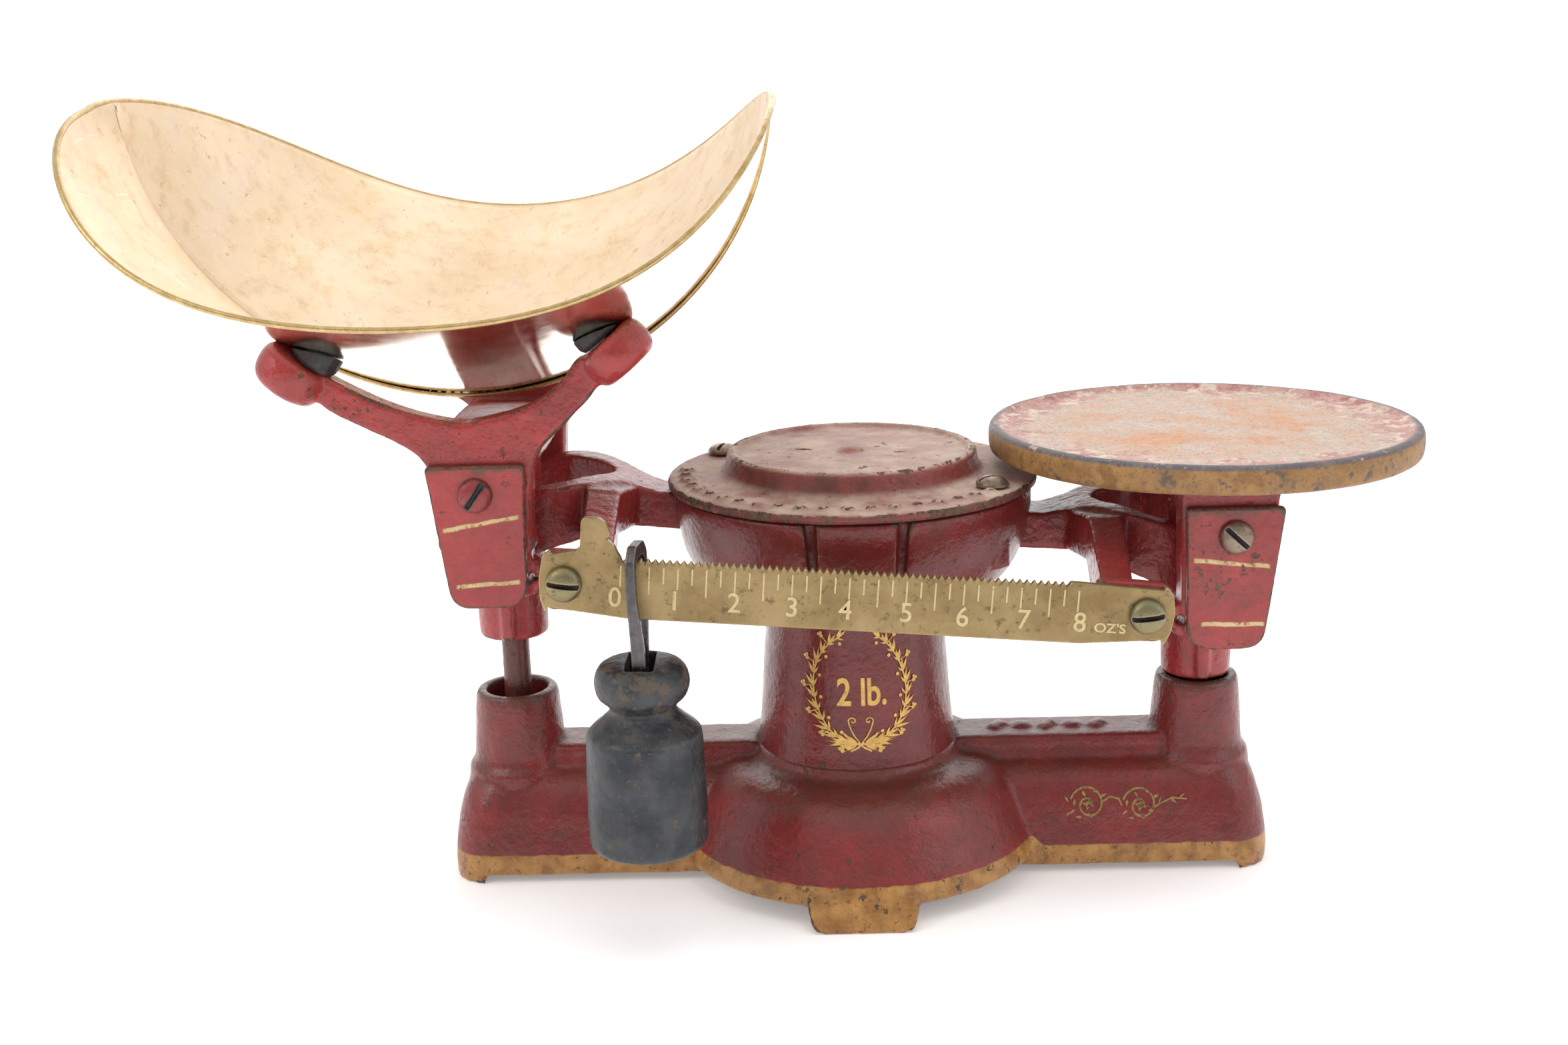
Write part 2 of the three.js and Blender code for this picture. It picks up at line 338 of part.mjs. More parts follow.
// ---------------------------------------------------------------- hangers
// Left and right knife edges at rest.
const END = { left: [-ARM * Math.cos(TILT), PIVOT_Z + ARM * Math.sin(TILT)], right: [ARM * Math.cos(TILT), PIVOT_Z - ARM * Math.sin(TILT)] };
function hanger(side) {
  const sx = side === "left" ? -1 : 1;
  const [kx, kz] = END[side];
  const put = (pts) => pts.map(([x, z]) => [kx + sx * x, kz + z]);
  const top = side === "left" ? 16 : 19.5;
  const cheekPts = rounded([[-12.9, top], [12.9, top], [8.2, -23.6], [-11.9, -23.6]], [1.5, 1.5, 6, 7]);
  const coverPts = put(rounded([[-11.8, 12.8], [13.4, 12.8], [8.4, -24.6], [-11, -24.6]], [1.6, 1.6, 6, 7]));
  let casting = null;
  const each = [["front", -1], ["back", 1]];
  const range = (sy, a, b) => (sy < 0 ? [-b, -a] : [a, b]);
  for (const [, sy] of each) {
    let cheek = prismY(put(cheekPts), ...range(sy, CHEEK_IN, CHEEK_OUT));
    const ear = prismY(put(rounded([[-14.4, -15.2], [-9, -13], [-9, -22], [-13.4, -20.8]], [2.6, 0, 0, 2.6])), ...range(sy, 32, 37));
    cheek = cheek.add(ear);
    if (side === "left") {
      // four-armed spider: two arms rise from each cheek to a round pad
      const arm = [[-108.6, 113], [-107.6, 121.6], [-109.9, 125.6], [-113.9, 128.5], [-117.6, 130.4], [-124, 133.2], [-131.5, 137.2], [-136, 141.5], [-139, 146], [-133, 149], [-130.8, 145.8], [-121.8, 140.9], [-113.2, 137.2], [-105, 134.9], [-99.7, 133.8], [-96.6, 133.9], [-86.8, 135.9], [-80.2, 138.2], [-75.3, 141.3], [-71.6, 145], [-68.5, 149], [-64, 149], [-63.6, 142], [-73.6, 131.8], [-78.9, 126.6], [-81.2, 121.4], [-82.1, 113]];
      cheek = cheek.add(prismY(arm, ...range(sy, CHEEK_IN + 1.6, CHEEK_OUT)));
      for (const [, px, pz, tilt] of PADS) {
        const m = new THREE.Matrix4().makeRotationY(tilt);
        cheek = cheek.add(turned([[0, -5], [6.6, -5], [8.9, -2.4], [9.1, 2.6], [7.6, 4.8], [0, 4.8]], 20, px, sy * PAD_Y, pz, m));
      }
    }
    casting = casting ? casting.add(cheek) : cheek;
  }
  const bridge = side === "left"
    ? prismX(rounded([[-33, 8], [33, 8], [33, 15.5], [14, 18.6], [-14, 18.6], [-33, 15.5]].map(([y, z]) => [y, kz + z]), 0), kx - 11.5, kx + 11.5)
    : prismX(rounded([[-33, 9], [33, 9], [33, 19.5], [-33, 19.5]].map(([y, z]) => [y, kz + z]), 0), kx - 11.5, kx + 11.5);
  const stem = cylZ(STEM_R, kx, 0, kz - STEM_DROP, kz + 10, 32, STEM_R + 0.6);
  const ridge = box(kx - 1.8, kx + 1.8, -STEM_R - 1, -STEM_R + 1, kz - STEM_DROP + 0.6, kz + 9);
  casting = join(casting, bridge, stem, ridge);
  // the scoop side's stem is cored to the top; the plate side is cast solid to outweigh it
  if (side === "left") casting = cut(casting, cylZ(6.8, kx, 0, kz - STEM_DROP - 5, kz - 1, 20));
  else casting = cut(join(casting, box(kx - 11.5, kx + 11.5, -14.5, 14.5, kz - 9, kz + 10)), cylZ(ROD_R + 0.4, kx, 0, kz - STEM_DROP - 5, kz - 28, 20));
  for (const [, sy] of each) {
    casting = cut(casting,
      prismY(put([[-6.4, 10.4], [6.4, 10.4], [6.4, -9], [-6.4, -9]]), ...range(sy, CHEEK_IN + 1.6, CHEEK_OUT + 1)),
      prismY(put([[-5.4, 3.2], [5.4, 3.2], [5.4, -9], [-5.4, -9]]), ...range(sy, CHEEK_IN - 1, CHEEK_IN + 2)),
            cylY(1.2, kx - sx * 11.6, kz - 18, ...range(sy, CHEEK_IN, CHEEK_OUT + 1), 10));
  }
  if (side === "right") casting = cut(casting, cylZ(2.3, kx, 0, kz + 8, kz + 21, 14));
  if (side === "left") {
    for (const [, sy] of each) for (const [, px, pz, tilt, off] of PADS)
      casting = cut(casting, turned([[0, 4.9], [8, 4.9], [8, 22], [0, 22]], 16, px, sy * PAD_Y, pz, new THREE.Matrix4().makeRotationY(tilt).multiply(shift(off, 0, 0))));
    casting = cut(casting, ...scoopClear);
  }
  add(side + "_hanger_casting", casting, "bright");
  for (const [n, sy] of each) {
    const y0 = CHEEK_OUT + GAP, y1 = y0 + COVER_T;
    const cover = cut(prismY(coverPts, ...range(sy, y0, y1)), cylY(2.2, kx + sx * 0.8, kz + 5.3, ...range(sy, CHEEK_OUT - 1, CHEEK_OUT + 5), 12));
    add(side + "_bearing_cover_" + n, cover, "bright");
    // the screw passes through the cover into the bearing block behind it
    const screw = screwY(kx + sx * 0.8, kz + 5.3, sy * (y1 + GAP), sy, 4.4, 2.3, 1.75, 4.6, (side === "left" ? 1.05 : -0.75) * 1);
    add(side + "_cover_screw_" + n, screw, side === "left" ? "bright" : "rust");
    const block = cut(
      prismY(put([[-6, 10], [6, 10], [6, -2.6], [5.2, -2.6], [0, 0.35], [-5.2, -2.6], [-6, -2.6]]), ...range(sy, CHEEK_IN + 2, CHEEK_OUT - 0.3)),
      cylY(2.2, kx + sx * 0.8, kz + 5.3, ...range(sy, 34, 44), 12));
    add(side + "_bearing_" + n, block, "steel");
    if (side === "left")
      for (const [s, px, pz, tilt, off] of PADS) {
        const m = new THREE.Matrix4().makeRotationY(tilt).multiply(shift(off, 0, 0));
        const rubber = cut(turned([[0, 5.2], [5.6, 5.2], [6.4, 6.6], [6.2, 12], [4.6, 17], [0, 19]], 16, px, sy * PAD_Y, pz, m), ...scoopClear);
        add("bumper_" + n + "_" + s, rubber, "rubber");
      }
  }
  // stay rod with a flattened, pierced foot, and its pin to the check lever
  const heel = kz - HEEL;
  let rod = join(cylZ(ROD_R, kx, 0, heel + 7, side === "left" ? kz - 1.3 : kz - 28.6, 20), box(kx - 3.4, kx + 3.4, -1.7, 1.7, heel - 4, heel + 9));
  rod = cut(rod, cylY(1.8, kx, heel, -5, 5, 14));
  add(side + "_stay_rod", rod, "rust");
  add(side + "_stay_pin", cylY(1.5, kx, heel, -6.4, 6.4, 14), "steel");
}
hanger("left");
hanger("right");

// ---------------------------------------------------------------- weight plate
{
  const [kx, kz] = END.right;
  const u = PLATE_TOP;
  let plate = turned([[0, u - 7.3], [49, u - 7.3], [51, u - 5.2], [53.8, u - 5.2], [54.4, u - 7.6], [56.6, u - 7.6], [57.3, u - 6.8], [PLATE_R, u - 1.6], [56.9, u - 0.4], [55.6, u], [54.2, u - 0.2], [52.6, u - 1.2], [50, u - 1.5], [0, u - 1.5]], 48, kx);
  plate = plate.subtract(cylZ(2.3, kx, 0, u - 8, u - 3, 14));
  add("weight_plate", plate, "plate");
  add("plate_stud", cylZ(1.9, kx, 0, kz + 9.4, kz + 23.4, 14), "rust");
}

// ---------------------------------------------------------------- check lever and its fixed pin
{
  const z = PIVOT_Z - HEEL, g = new THREE.Group();
  g.position.set(0, 0, z);
  g.rotation.y = TILT;
  root.add(g);
  const side = rounded([[-100.5, -2.9], [-7, -3.2], [0, -4.2], [7, -3.2], [100.5, -2.9], [100.5, 2.9], [7, 3.2], [0, 4.2], [-7, 3.2], [-100.5, 2.9]], [2.6, 0, 3, 0, 2.6, 2.6, 0, 3, 0, 2.6], 3);
  let lever = prismY(side, -4.8, 4.8);
  for (const sx of [-1, 1]) lever = cut(lever, box(Math.min(sx * 87, sx * 102), Math.max(sx * 87, sx * 102), -2.2, 2.2, -6, 6), cylY(2.1, sx * ARM, 0, -6, 6, 16));
  lever = cut(lever, cylY(2.1, 0, 0, -6, 6, 16));
  add("check_lever", lever, "iron", g);
  add("check_pivot_pin", cylY(1.7, 0, z, -11.4, 11.4, 16), "steel");
}

// ---------------------------------------------------------------- poise on its bail
{
  const along = ZERO_X + POISE_AT * OZ, c = Math.cos(TILT), s = Math.sin(TILT);
  const notch = [along * c - 3.2 * s, PIVOT_Z - along * s - 3.2 * c];
  const px = notch[0], top = notch[1], y = BAR_Y + BAR_T / 2;
  // bail: closed strap loop standing across the bar
  const outer = [[-3.6, top + 3.6], [3.6, top + 3.6], [6.6, top + 0.4], [7.2, top - 10], [6, top - 28], [4.6, top - 37.5], [0, top - 40.2], [-4.6, top - 37.5], [-6, top - 28], [-7.2, top - 10], [-6.6, top + 0.4]];
  const inner = [[-2, top + 0.5], [2, top + 0.5], [4.6, top - 1.6], [5.2, top - 10], [4, top - 28], [3, top - 36], [0, top - 37.6], [-3, top - 36], [-4, top - 28], [-5.2, top - 10], [-4.6, top - 1.6]];
  const loop = (pts, x0, x1) => prismX(rounded(pts.map(([a, b]) => [a + y, b]), 1.2, 2), x0, x1);
  const bail = cut(loop(outer, px - 1.7, px + 1.7), loop(inner, px - 4, px + 4));
  add("poise_bail", bail, "iron");
  // poise: waisted iron weight with a slot for the bail and a lead plug under it
  const eye = top - 38.9;
  const prof = [[0, -4.2], [12.6, -4.2], [14.5, -3.4], [15, -1.4], [15, 12], [14.5, 25.6], [14, 26.8], [9.4, 30.8], [8.2, 32.2], [8.5, 33.4], [11, 35.6], [11.8, 38], [11.7, 41], [10.4, 43.4], [7.4, 44.8], [0, 45.2]];
  let poise = turned(prof, 32, px, y, eye - 32.2);
  const channel = prismY([[px - 2.3, eye - 3.2], [px + 2.3, eye - 3.2], [px + 3.7, eye + 16], [px - 3.7, eye + 16]], y - 5.7, y + 5.7)
    .add(prismY([[px - 2.7, eye + 4], [px + 2.7, eye + 4], [px + 3.7, eye + 16], [px - 3.7, eye + 16]], y - 7.5, y + 7.5));
  poise = cut(poise, channel, cylZ(6.3, px, y, eye - 38, eye - 27.2, 20));
  poise = join(poise, box(px - 6.4, px + 6.4, y - 1, y + 1, eye + 2.2, eye + 4.6));
  add("poise_weight", poise, "iron");
  add("poise_plug", cylZ(6, px, y, eye - 36, eye - 27.6, 20), "lead");
}

export default root;
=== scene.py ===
import bpy
import bmesh
import math
import numpy as np
from mathutils import Matrix, Vector


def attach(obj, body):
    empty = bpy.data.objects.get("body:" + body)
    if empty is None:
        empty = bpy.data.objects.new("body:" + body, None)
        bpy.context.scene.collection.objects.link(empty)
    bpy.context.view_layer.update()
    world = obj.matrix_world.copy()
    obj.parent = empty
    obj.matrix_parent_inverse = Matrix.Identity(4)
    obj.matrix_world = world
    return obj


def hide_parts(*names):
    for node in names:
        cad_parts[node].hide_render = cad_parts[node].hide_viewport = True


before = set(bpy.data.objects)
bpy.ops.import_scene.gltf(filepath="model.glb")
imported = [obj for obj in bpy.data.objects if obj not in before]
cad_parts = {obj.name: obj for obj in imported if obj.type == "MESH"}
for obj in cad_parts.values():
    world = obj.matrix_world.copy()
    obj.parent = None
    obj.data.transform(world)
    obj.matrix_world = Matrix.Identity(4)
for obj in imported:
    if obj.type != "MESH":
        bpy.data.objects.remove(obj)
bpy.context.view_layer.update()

# ------------------------------------------------------------------ dimensions, in mm about the column's axis
OX, OY = 18.70, -8.12
ARM, PIVOT_Z = 95.25, 103.0
TILT = math.radians(4.65)
KL = (-ARM * math.cos(TILT), PIVOT_Z + ARM * math.sin(TILT))
KR = (ARM * math.cos(TILT), PIVOT_Z - ARM * math.sin(TILT))
STEM_DROP = 43.8
CHEEK_IN, CHEEK_OUT, COVER_T, GAP = 30.0, 38.4, 2.2, 0.3
PAD_Y = 35.5
PADS = [("left", -140.6, 147.2, 0.66, 2.6), ("right", -58.4, 150.6, -0.7, -0.6)]
BAR_Y, BAR_T, OZ, ZERO_X = -61.0, 2.0, 13.95, -57.45
rng = np.random.default_rng(7)


def level(p):
    """A point in the beam's level frame, about its knife edge, to the rest attitude."""
    x, y, z = p
    return (x * math.cos(TILT) + z * math.sin(TILT), y, PIVOT_Z - x * math.sin(TILT) + z * math.cos(TILT))


# ------------------------------------------------------------------ closed meshes as (points, faces)
def catmull(pts, k=4, closed=False):
    """Smooth curve through the points, k steps to a span."""
    p = np.array(pts, float)
    n = len(p)
    out = []
    spans = n if closed else n - 1
    for i in range(spans):
        p1, p2 = p[i], p[(i + 1) % n]
        p0 = p[(i - 1) % n] if closed or i > 0 else 2 * p1 - p2
        p3 = p[(i + 2) % n] if closed or i + 2 < n else 2 * p2 - p1
        for j in range(k):
            t = j / k
            out.append(0.5 * ((2 * p1) + (p2 - p0) * t + (2 * p0 - 5 * p1 + 4 * p2 - p3) * t * t + (3 * p1 - p0 - 3 * p2 + p3) * t ** 3))
    if not closed:
        out.append(p[-1])
    return [tuple(q) for q in out]


def rounded(points, radii, steps=6):
    out, n = [], len(points)
    for i in range(n):
        p, a, b = (np.array(points[j % n], float) for j in (i, i - 1, i + 1))
        r = radii[i] if isinstance(radii, (list, tuple)) else radii
        da, db = a - p, b - p
        la, lb = np.linalg.norm(da), np.linalg.norm(db)
        da, db = da / la, db / lb
        half = math.acos(max(-1, min(1, float(da @ db)))) / 2
        if not r or half > 1.55:
            out.append(tuple(p))
            continue
        t = min(r / math.tan(half), la * 0.49, lb * 0.49)
        s, e = p + da * t, p + db * t
        for k in range(steps + 1):
            u = k / steps
            w = 1 - u
            out.append(tuple(w * w * s + 2 * u * w * p + u * u * e))
    return out


def loft(rings):
    n = len(rings[0])
    v = [p for r in rings for p in r]
    f = []
    for k in range(len(rings) - 1):
        for i in range(n):
            j = (i + 1) % n
            f.append((k * n + i, k * n + j, (k + 1) * n + j, (k + 1) * n + i))
    f.append(tuple(reversed(range(n))))
    f.append(tuple(range((len(rings) - 1) * n, len(rings) * n)))
    return np.array(v, float), f


def slab(hx, hy, r, z, steps=8):
    out = []
    for sx, sy, a0 in ((1, 1, 0), (-1, 1, 90), (-1, -1, 180), (1, -1, 270)):
        for k in range(steps + 1):
            a = math.radians(a0 + 90 * k / steps)
            out.append((sx * (hx - r) + r * math.cos(a), sy * (hy - r) + r * math.sin(a), z))
    return out


def lathe(profile, seg=144, x=0.0, y=0.0, z=0.0, M=None):
    """Turned solid: profile of (radius, height) from axis to axis, or a closed loop off the axis."""
    ang = np.linspace(0, 2 * math.pi, seg, endpoint=False)
    v, f, rows = [], [], []
    for r, h in profile:
        if r <= 1e-9:
            rows.append([len(v)])
            v.append((0, 0, h))
        else:
            rows.append(list(range(len(v), len(v) + seg)))
            v += [(r * math.cos(a), r * math.sin(a), h) for a in ang]
    pairs = list(zip(rows[:-1], rows[1:]))
    if len(rows[0]) > 1 and len(rows[-1]) > 1:
        pairs.append((rows[-1], rows[0]))
    for a, b in pairs:
        for i in range(seg):
            j = (i + 1) % seg
            if len(a) == 1 and len(b) == 1:
                continue
            if len(a) == 1:
                f.append((a[0], b[j], b[i]))
            elif len(b) == 1:
                f.append((a[i], a[j], b[0]))
            else:
                f.append((a[i], a[j], b[j], b[i]))
    v = np.array(v, float)
    if M is not None:
        v = v @ np.array(M.to_3x3()).T
    return v + np.array([x, y, z]), f


def prism(pts, a, b, axis):
    """Outline in the other two axes (in x, y, z order), from a to b along the axis."""
    n = len(pts)
    put = {"x": lambda p, t: (t, p[0], p[1]), "y": lambda p, t: (p[0], t, p[1]), "z": lambda p, t: (p[0], p[1], t)}[axis]
    v = [put(p, a) for p in pts] + [put(p, b) for p in pts]
    f = [(i, (i + 1) % n, n + (i + 1) % n, n + i) for i in range(n)] + [tuple(reversed(range(n))), tuple(range(n, 2 * n))]
    return np.array(v, float), f


def box(x0, x1, y0, y1, z0, z1):
    return prism([(x0, y0), (x1, y0), (x1, y1), (x0, y1)], z0, z1, "z")


def cyl(r, a, b, c, axis="y", seg=48):
    pts = [(c[0] + r * math.cos(t), c[1] + r * math.sin(t)) for t in np.linspace(0, 2 * math.pi, seg, endpoint=False)]
    return prism(pts, a, b, axis)


def hexa(near, far):
    return loft([near, far])


def tube(path, r, seg=16, flat=1.0, closed=False):
    """Round or oval rod along a path, with rounded ends."""
    p = np.array(path, float)
    n = len(p)
    t = np.gradient(p, axis=0) if not closed else np.roll(p, -1, 0) - np.roll(p, 1, 0)
    t /= np.linalg.norm(t, axis=1)[:, None]
    up = np.cross(t[0], [0.13, 0.31, 0.94])
    up /= np.linalg.norm(up)
    rings = []
    for i in range(n):
        up = up - t[i] * (up @ t[i])
        up /= np.linalg.norm(up)
        side = np.cross(t[i], up)
        k = 1.0 if closed else min(1.0, math.sin(math.pi / 2 * min(1, (min(i, n - 1 - i) + 0.25) / 2.5)))
        rr = (r[i] if hasattr(r, "__len__") else r) * k
        rings.append([tuple(p[i] + rr * (math.cos(a) * up * flat + math.sin(a) * side)) for a in np.linspace(0, 2 * math.pi, seg, endpoint=False)])
    if closed:
        v = np.array([q for g in rings for q in g])
        f = [(k * seg + i, k * seg + (i + 1) % seg, ((k + 1) % n) * seg + (i + 1) % seg, ((k + 1) % n) * seg + i) for k in range(n) for i in range(seg)]
        return v, f
    return loft(rings)


def moved(part, fn):
    return np.array([fn(p) for p in part[0]], float), part[1]


# ------------------------------------------------------------------ objects
def raw(name, parts):
    """One object, in mm, from closed meshes."""
    v, f, n = [], [], 0
    for pv, pf in parts:
        v.append(np.asarray(pv, float))
        f += [tuple(i + n for i in face) for face in pf]
        n += len(pv)
    me = bpy.data.meshes.new(name)
    me.from_pydata(np.concatenate(v).tolist(), [], f)
    o = bpy.data.objects.new(name, me)
    bpy.context.scene.collection.objects.link(o)
    bm = bmesh.new()
    bm.from_mesh(me)
    bmesh.ops.recalc_face_normals(bm, faces=bm.faces)
    bm.to_mesh(me)
    bm.free()
    return o


def bake(o):
    dg = bpy.context.evaluated_depsgraph_get()
    dg.update()
    me = bpy.data.meshes.new_from_object(o.evaluated_get(dg))
    old = o.data
    o.modifiers.clear()
    o.data = me
    bpy.data.meshes.remove(old)
    return o


def remesh(o, voxel):
    m = o.modifiers.new("r", "REMESH")
    m.mode = "VOXEL"
    m.voxel_size = voxel
    m.use_smooth_shade = True
    return bake(o)


def boolean(o, other, op="DIFFERENCE"):
    keep = o.data.copy()
    for _ in range(4):
        m = o.modifiers.new("b", "BOOLEAN")
        m.operation = op
        m.object = other
        m.solver = "EXACT"
        m.use_self = False
        bake(o)
        if op != "DIFFERENCE" or len(o.data.vertices) > 0.5 * len(keep.vertices):
            break
        # coincident faces: nudge the cutter and cut again
        o.data = keep.copy()
        other.data.transform(Matrix.Translation((0.011, 0.007, 0.013)))
    else:
        raise RuntimeError("cut failed on " + o.name)
    bpy.data.objects.remove(other)
    return o


def edge_smooth(o, rounds, factor=0.5):
    if rounds:
        m = o.modifiers.new("s", "SMOOTH")
        m.factor = factor
        m.iterations = rounds
        bake(o)
    return o


def bumps(o, size, depth, seed=0):
    """Uneven casting surface: cloud displacement of the mesh itself, in mm."""
    t = bpy.data.textures.new("cast", "CLOUDS")
    t.noise_scale = size
    t.noise_depth = 2
    m = o.modifiers.new("d", "DISPLACE")
    m.texture = t
    m.texture_coords = "LOCAL"
    m.strength = depth
    m.mid_level = 0.5
    return bake(o)


def curvature(o):
    """Per-point attribute 'edge': convexity in 1/mm, positive on outer corners, negative in inner ones."""
    me = o.data
    n, ne = len(me.vertices), len(me.edges)
    co = np.empty(n * 3)
    me.vertices.foreach_get("co", co)
    co = co.reshape(-1, 3)
    no = np.empty(n * 3)
    me.vertices.foreach_get("normal", no)
    no = no.reshape(-1, 3)
    e = np.empty(ne * 2, int)
    me.edges.foreach_get("vertices", e)
    e = e.reshape(-1, 2)
    cnt = np.bincount(e.ravel(), minlength=n).astype(float)
    cnt[cnt == 0] = 1

    def mean(a):
        s = np.zeros_like(a)
        np.add.at(s, e[:, 0], a[e[:, 1]])
        np.add.at(s, e[:, 1], a[e[:, 0]])
        return s / (cnt[:, None] if a.ndim > 1 else cnt)
    h2 = np.linalg.norm(co[e[:, 0]] - co[e[:, 1]], axis=1) ** 2
    hh = np.zeros(n)
    np.add.at(hh, e[:, 0], h2)
    np.add.at(hh, e[:, 1], h2)
    hh = np.maximum(hh / cnt, 1e-6)
    k = -2 * np.einsum("ij,ij->i", mean(co) - co, no) / hh
    for _ in range(4):
        k = 0.5 * k + 0.5 * mean(k)
    at = me.attributes.new("edge", "FLOAT", "POINT")
    at.data.foreach_set("value", k.astype(np.float32))


def done(o, material, body, nodes=(), smooth=True, curve=True):
    if curve:
        curvature(o)
    me = o.data
    if smooth:
        me.polygons.foreach_set("use_smooth", [True] * len(me.polygons))
    me.transform(Matrix.Scale(0.001, 4) @ Matrix.Translation((OX, OY, 0)))
    me.update()
    mats = material if isinstance(material, (list, tuple)) else [material]
    me.materials.clear()
    for m in mats:
        me.materials.append(m)
    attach(o, body)
    if nodes:
        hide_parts(*nodes)
    return o


def cast(name, add, sub=(), voxel=0.6, rounds=3, inter=None):
    """Castings: closed shapes joined and cut, then remeshed so that every corner is soft."""
    o = raw(name, add)
    if inter is not None:
        boolean(o, raw("i", inter), "INTERSECT")
    remesh(o, voxel)
    if sub:
        boolean(o, remesh(raw("c", list(sub)), voxel))
        remesh(o, voxel)
    return edge_smooth(o, rounds)


def crisp(name, parts, bevel=0.25, segments=3, angle=35, subs=()):
    """Machined or sheet pieces: exact shapes with small bevels."""
    o = raw(name, parts)
    for s in subs:
        boolean(o, raw("c", [s]))
    if bevel:
        m = o.modifiers.new("b", "BEVEL")
        m.width = bevel
        m.segments = segments
        m.limit_method = "ANGLE"
        m.angle_limit = math.radians(angle)
        m.harden_normals = False
        bake(o)
    return o


# ------------------------------------------------------------------ materials
class Mat:
    """Short forms for building a node material."""

    def __init__(self, name):
        self.m = bpy.data.materials.new(name)
        self.m.use_nodes = True
        self.nt = self.m.node_tree
        self.p = self.nt.nodes["Principled BSDF"]
        self.co = self.node("ShaderNodeTexCoord").outputs["Object"]

    def node(self, kind, **k):
        n = self.nt.nodes.new(kind)
        for a, b in k.items():
            setattr(n, a, b)
        return n

    def put(self, sock, value):
        if hasattr(value, "links") or hasattr(value, "is_linked"):
            self.nt.links.new(value, sock)
        elif isinstance(value, (tuple, list)) and len(value) == 3 and sock.type == "RGBA":
            sock.default_value = (*value, 1)
        else:
            sock.default_value = value

    def noise(self, mm, detail=4, rough=0.55, co=None, dist=0.0, seed=0.0, stretch=None):
        """Noise with features about mm millimetres across."""
        c = co or self.co
        if seed or stretch:
            mp = self.node("ShaderNodeMapping")
            self.nt.links.new(c, mp.inputs[0])
            mp.inputs["Location"].default_value = (seed, seed * 0.37, -seed * 0.71)
            if stretch:
                mp.inputs["Scale"].default_value = stretch
            c = mp.outputs[0]
        n = self.node("ShaderNodeTexNoise")
        self.nt.links.new(c, n.inputs["Vector"])
        n.inputs["Scale"].default_value = 1000.0 / mm
        n.inputs["Detail"].default_value = detail
        n.inputs["Roughness"].default_value = rough
        n.inputs["Distortion"].default_value = dist
        return n.outputs["Fac"]

    def cells(self, mm, feature="F1", rand=1.0):
        n = self.node("ShaderNodeTexVoronoi", feature=feature)
        self.nt.links.new(self.co, n.inputs["Vector"])
        n.inputs["Scale"].default_value = 1000.0 / mm
        n.inputs["Randomness"].default_value = rand
        return n.outputs["Distance"]

    def ramp(self, fac, lo, hi, a=0.0, b=1.0, smooth=False):
        n = self.node("ShaderNodeMapRange", clamp=True)
        if smooth:
            n.interpolation_type = "SMOOTHSTEP"
        self.put(n.inputs["Value"], fac)
        for k, v in (("From Min", lo), ("From Max", hi), ("To Min", a), ("To Max", b)):
            n.inputs[k].default_value = v
        return n.outputs["Result"]

    def op(self, kind, a, b=0.0, c=None, clamp=False):
        n = self.node("ShaderNodeMath", operation=kind, use_clamp=clamp)
        self.put(n.inputs[0], a)
        self.put(n.inputs[1], b)
        if c is not None:
            self.put(n.inputs[2], c)
        return n.outputs[0]

    def mix(self, fac, a, b):
        n = self.node("ShaderNodeMix", data_type="RGBA")
        self.put(n.inputs["Factor"], fac)
        self.put(n.inputs[6], a)
        self.put(n.inputs[7], b)
        return n.outputs[2]

    def xyz(self):
        n = self.node("ShaderNodeSeparateXYZ")
        self.nt.links.new(self.co, n.inputs[0])
        return n.outputs

    def edge(self):
        return self.node("ShaderNodeAttribute", attribute_name="edge").outputs["Fac"]

    def up(self):
        g = self.node("ShaderNodeNewGeometry")
        n = self.node("ShaderNodeSeparateXYZ")
        self.nt.links.new(g.outputs["Normal"], n.inputs[0])
        return n.outputs[2]

    def bump(self, height, mm, strength=1.0, normal=None):
        n = self.node("ShaderNodeBump")
        n.inputs["Strength"].default_value = strength
        n.inputs["Distance"].default_value = mm * 0.001
        self.put(n.inputs["Height"], height)
        if normal is not None:
            self.nt.links.new(normal, n.inputs["Normal"])
        return n.outputs["Normal"]

    def finish(self, color=None, rough=None, metal=None, normal=None, coat=None, spec=None):
        for k, v in (("Base Color", color), ("Roughness", rough), ("Metallic", metal), ("Normal", normal), ("Coat Weight", coat), ("Specular IOR Level", spec)):
            if v is not None:
                self.put(self.p.inputs[k], v)
        return self.m


IRON = (0.050, 0.038, 0.032)


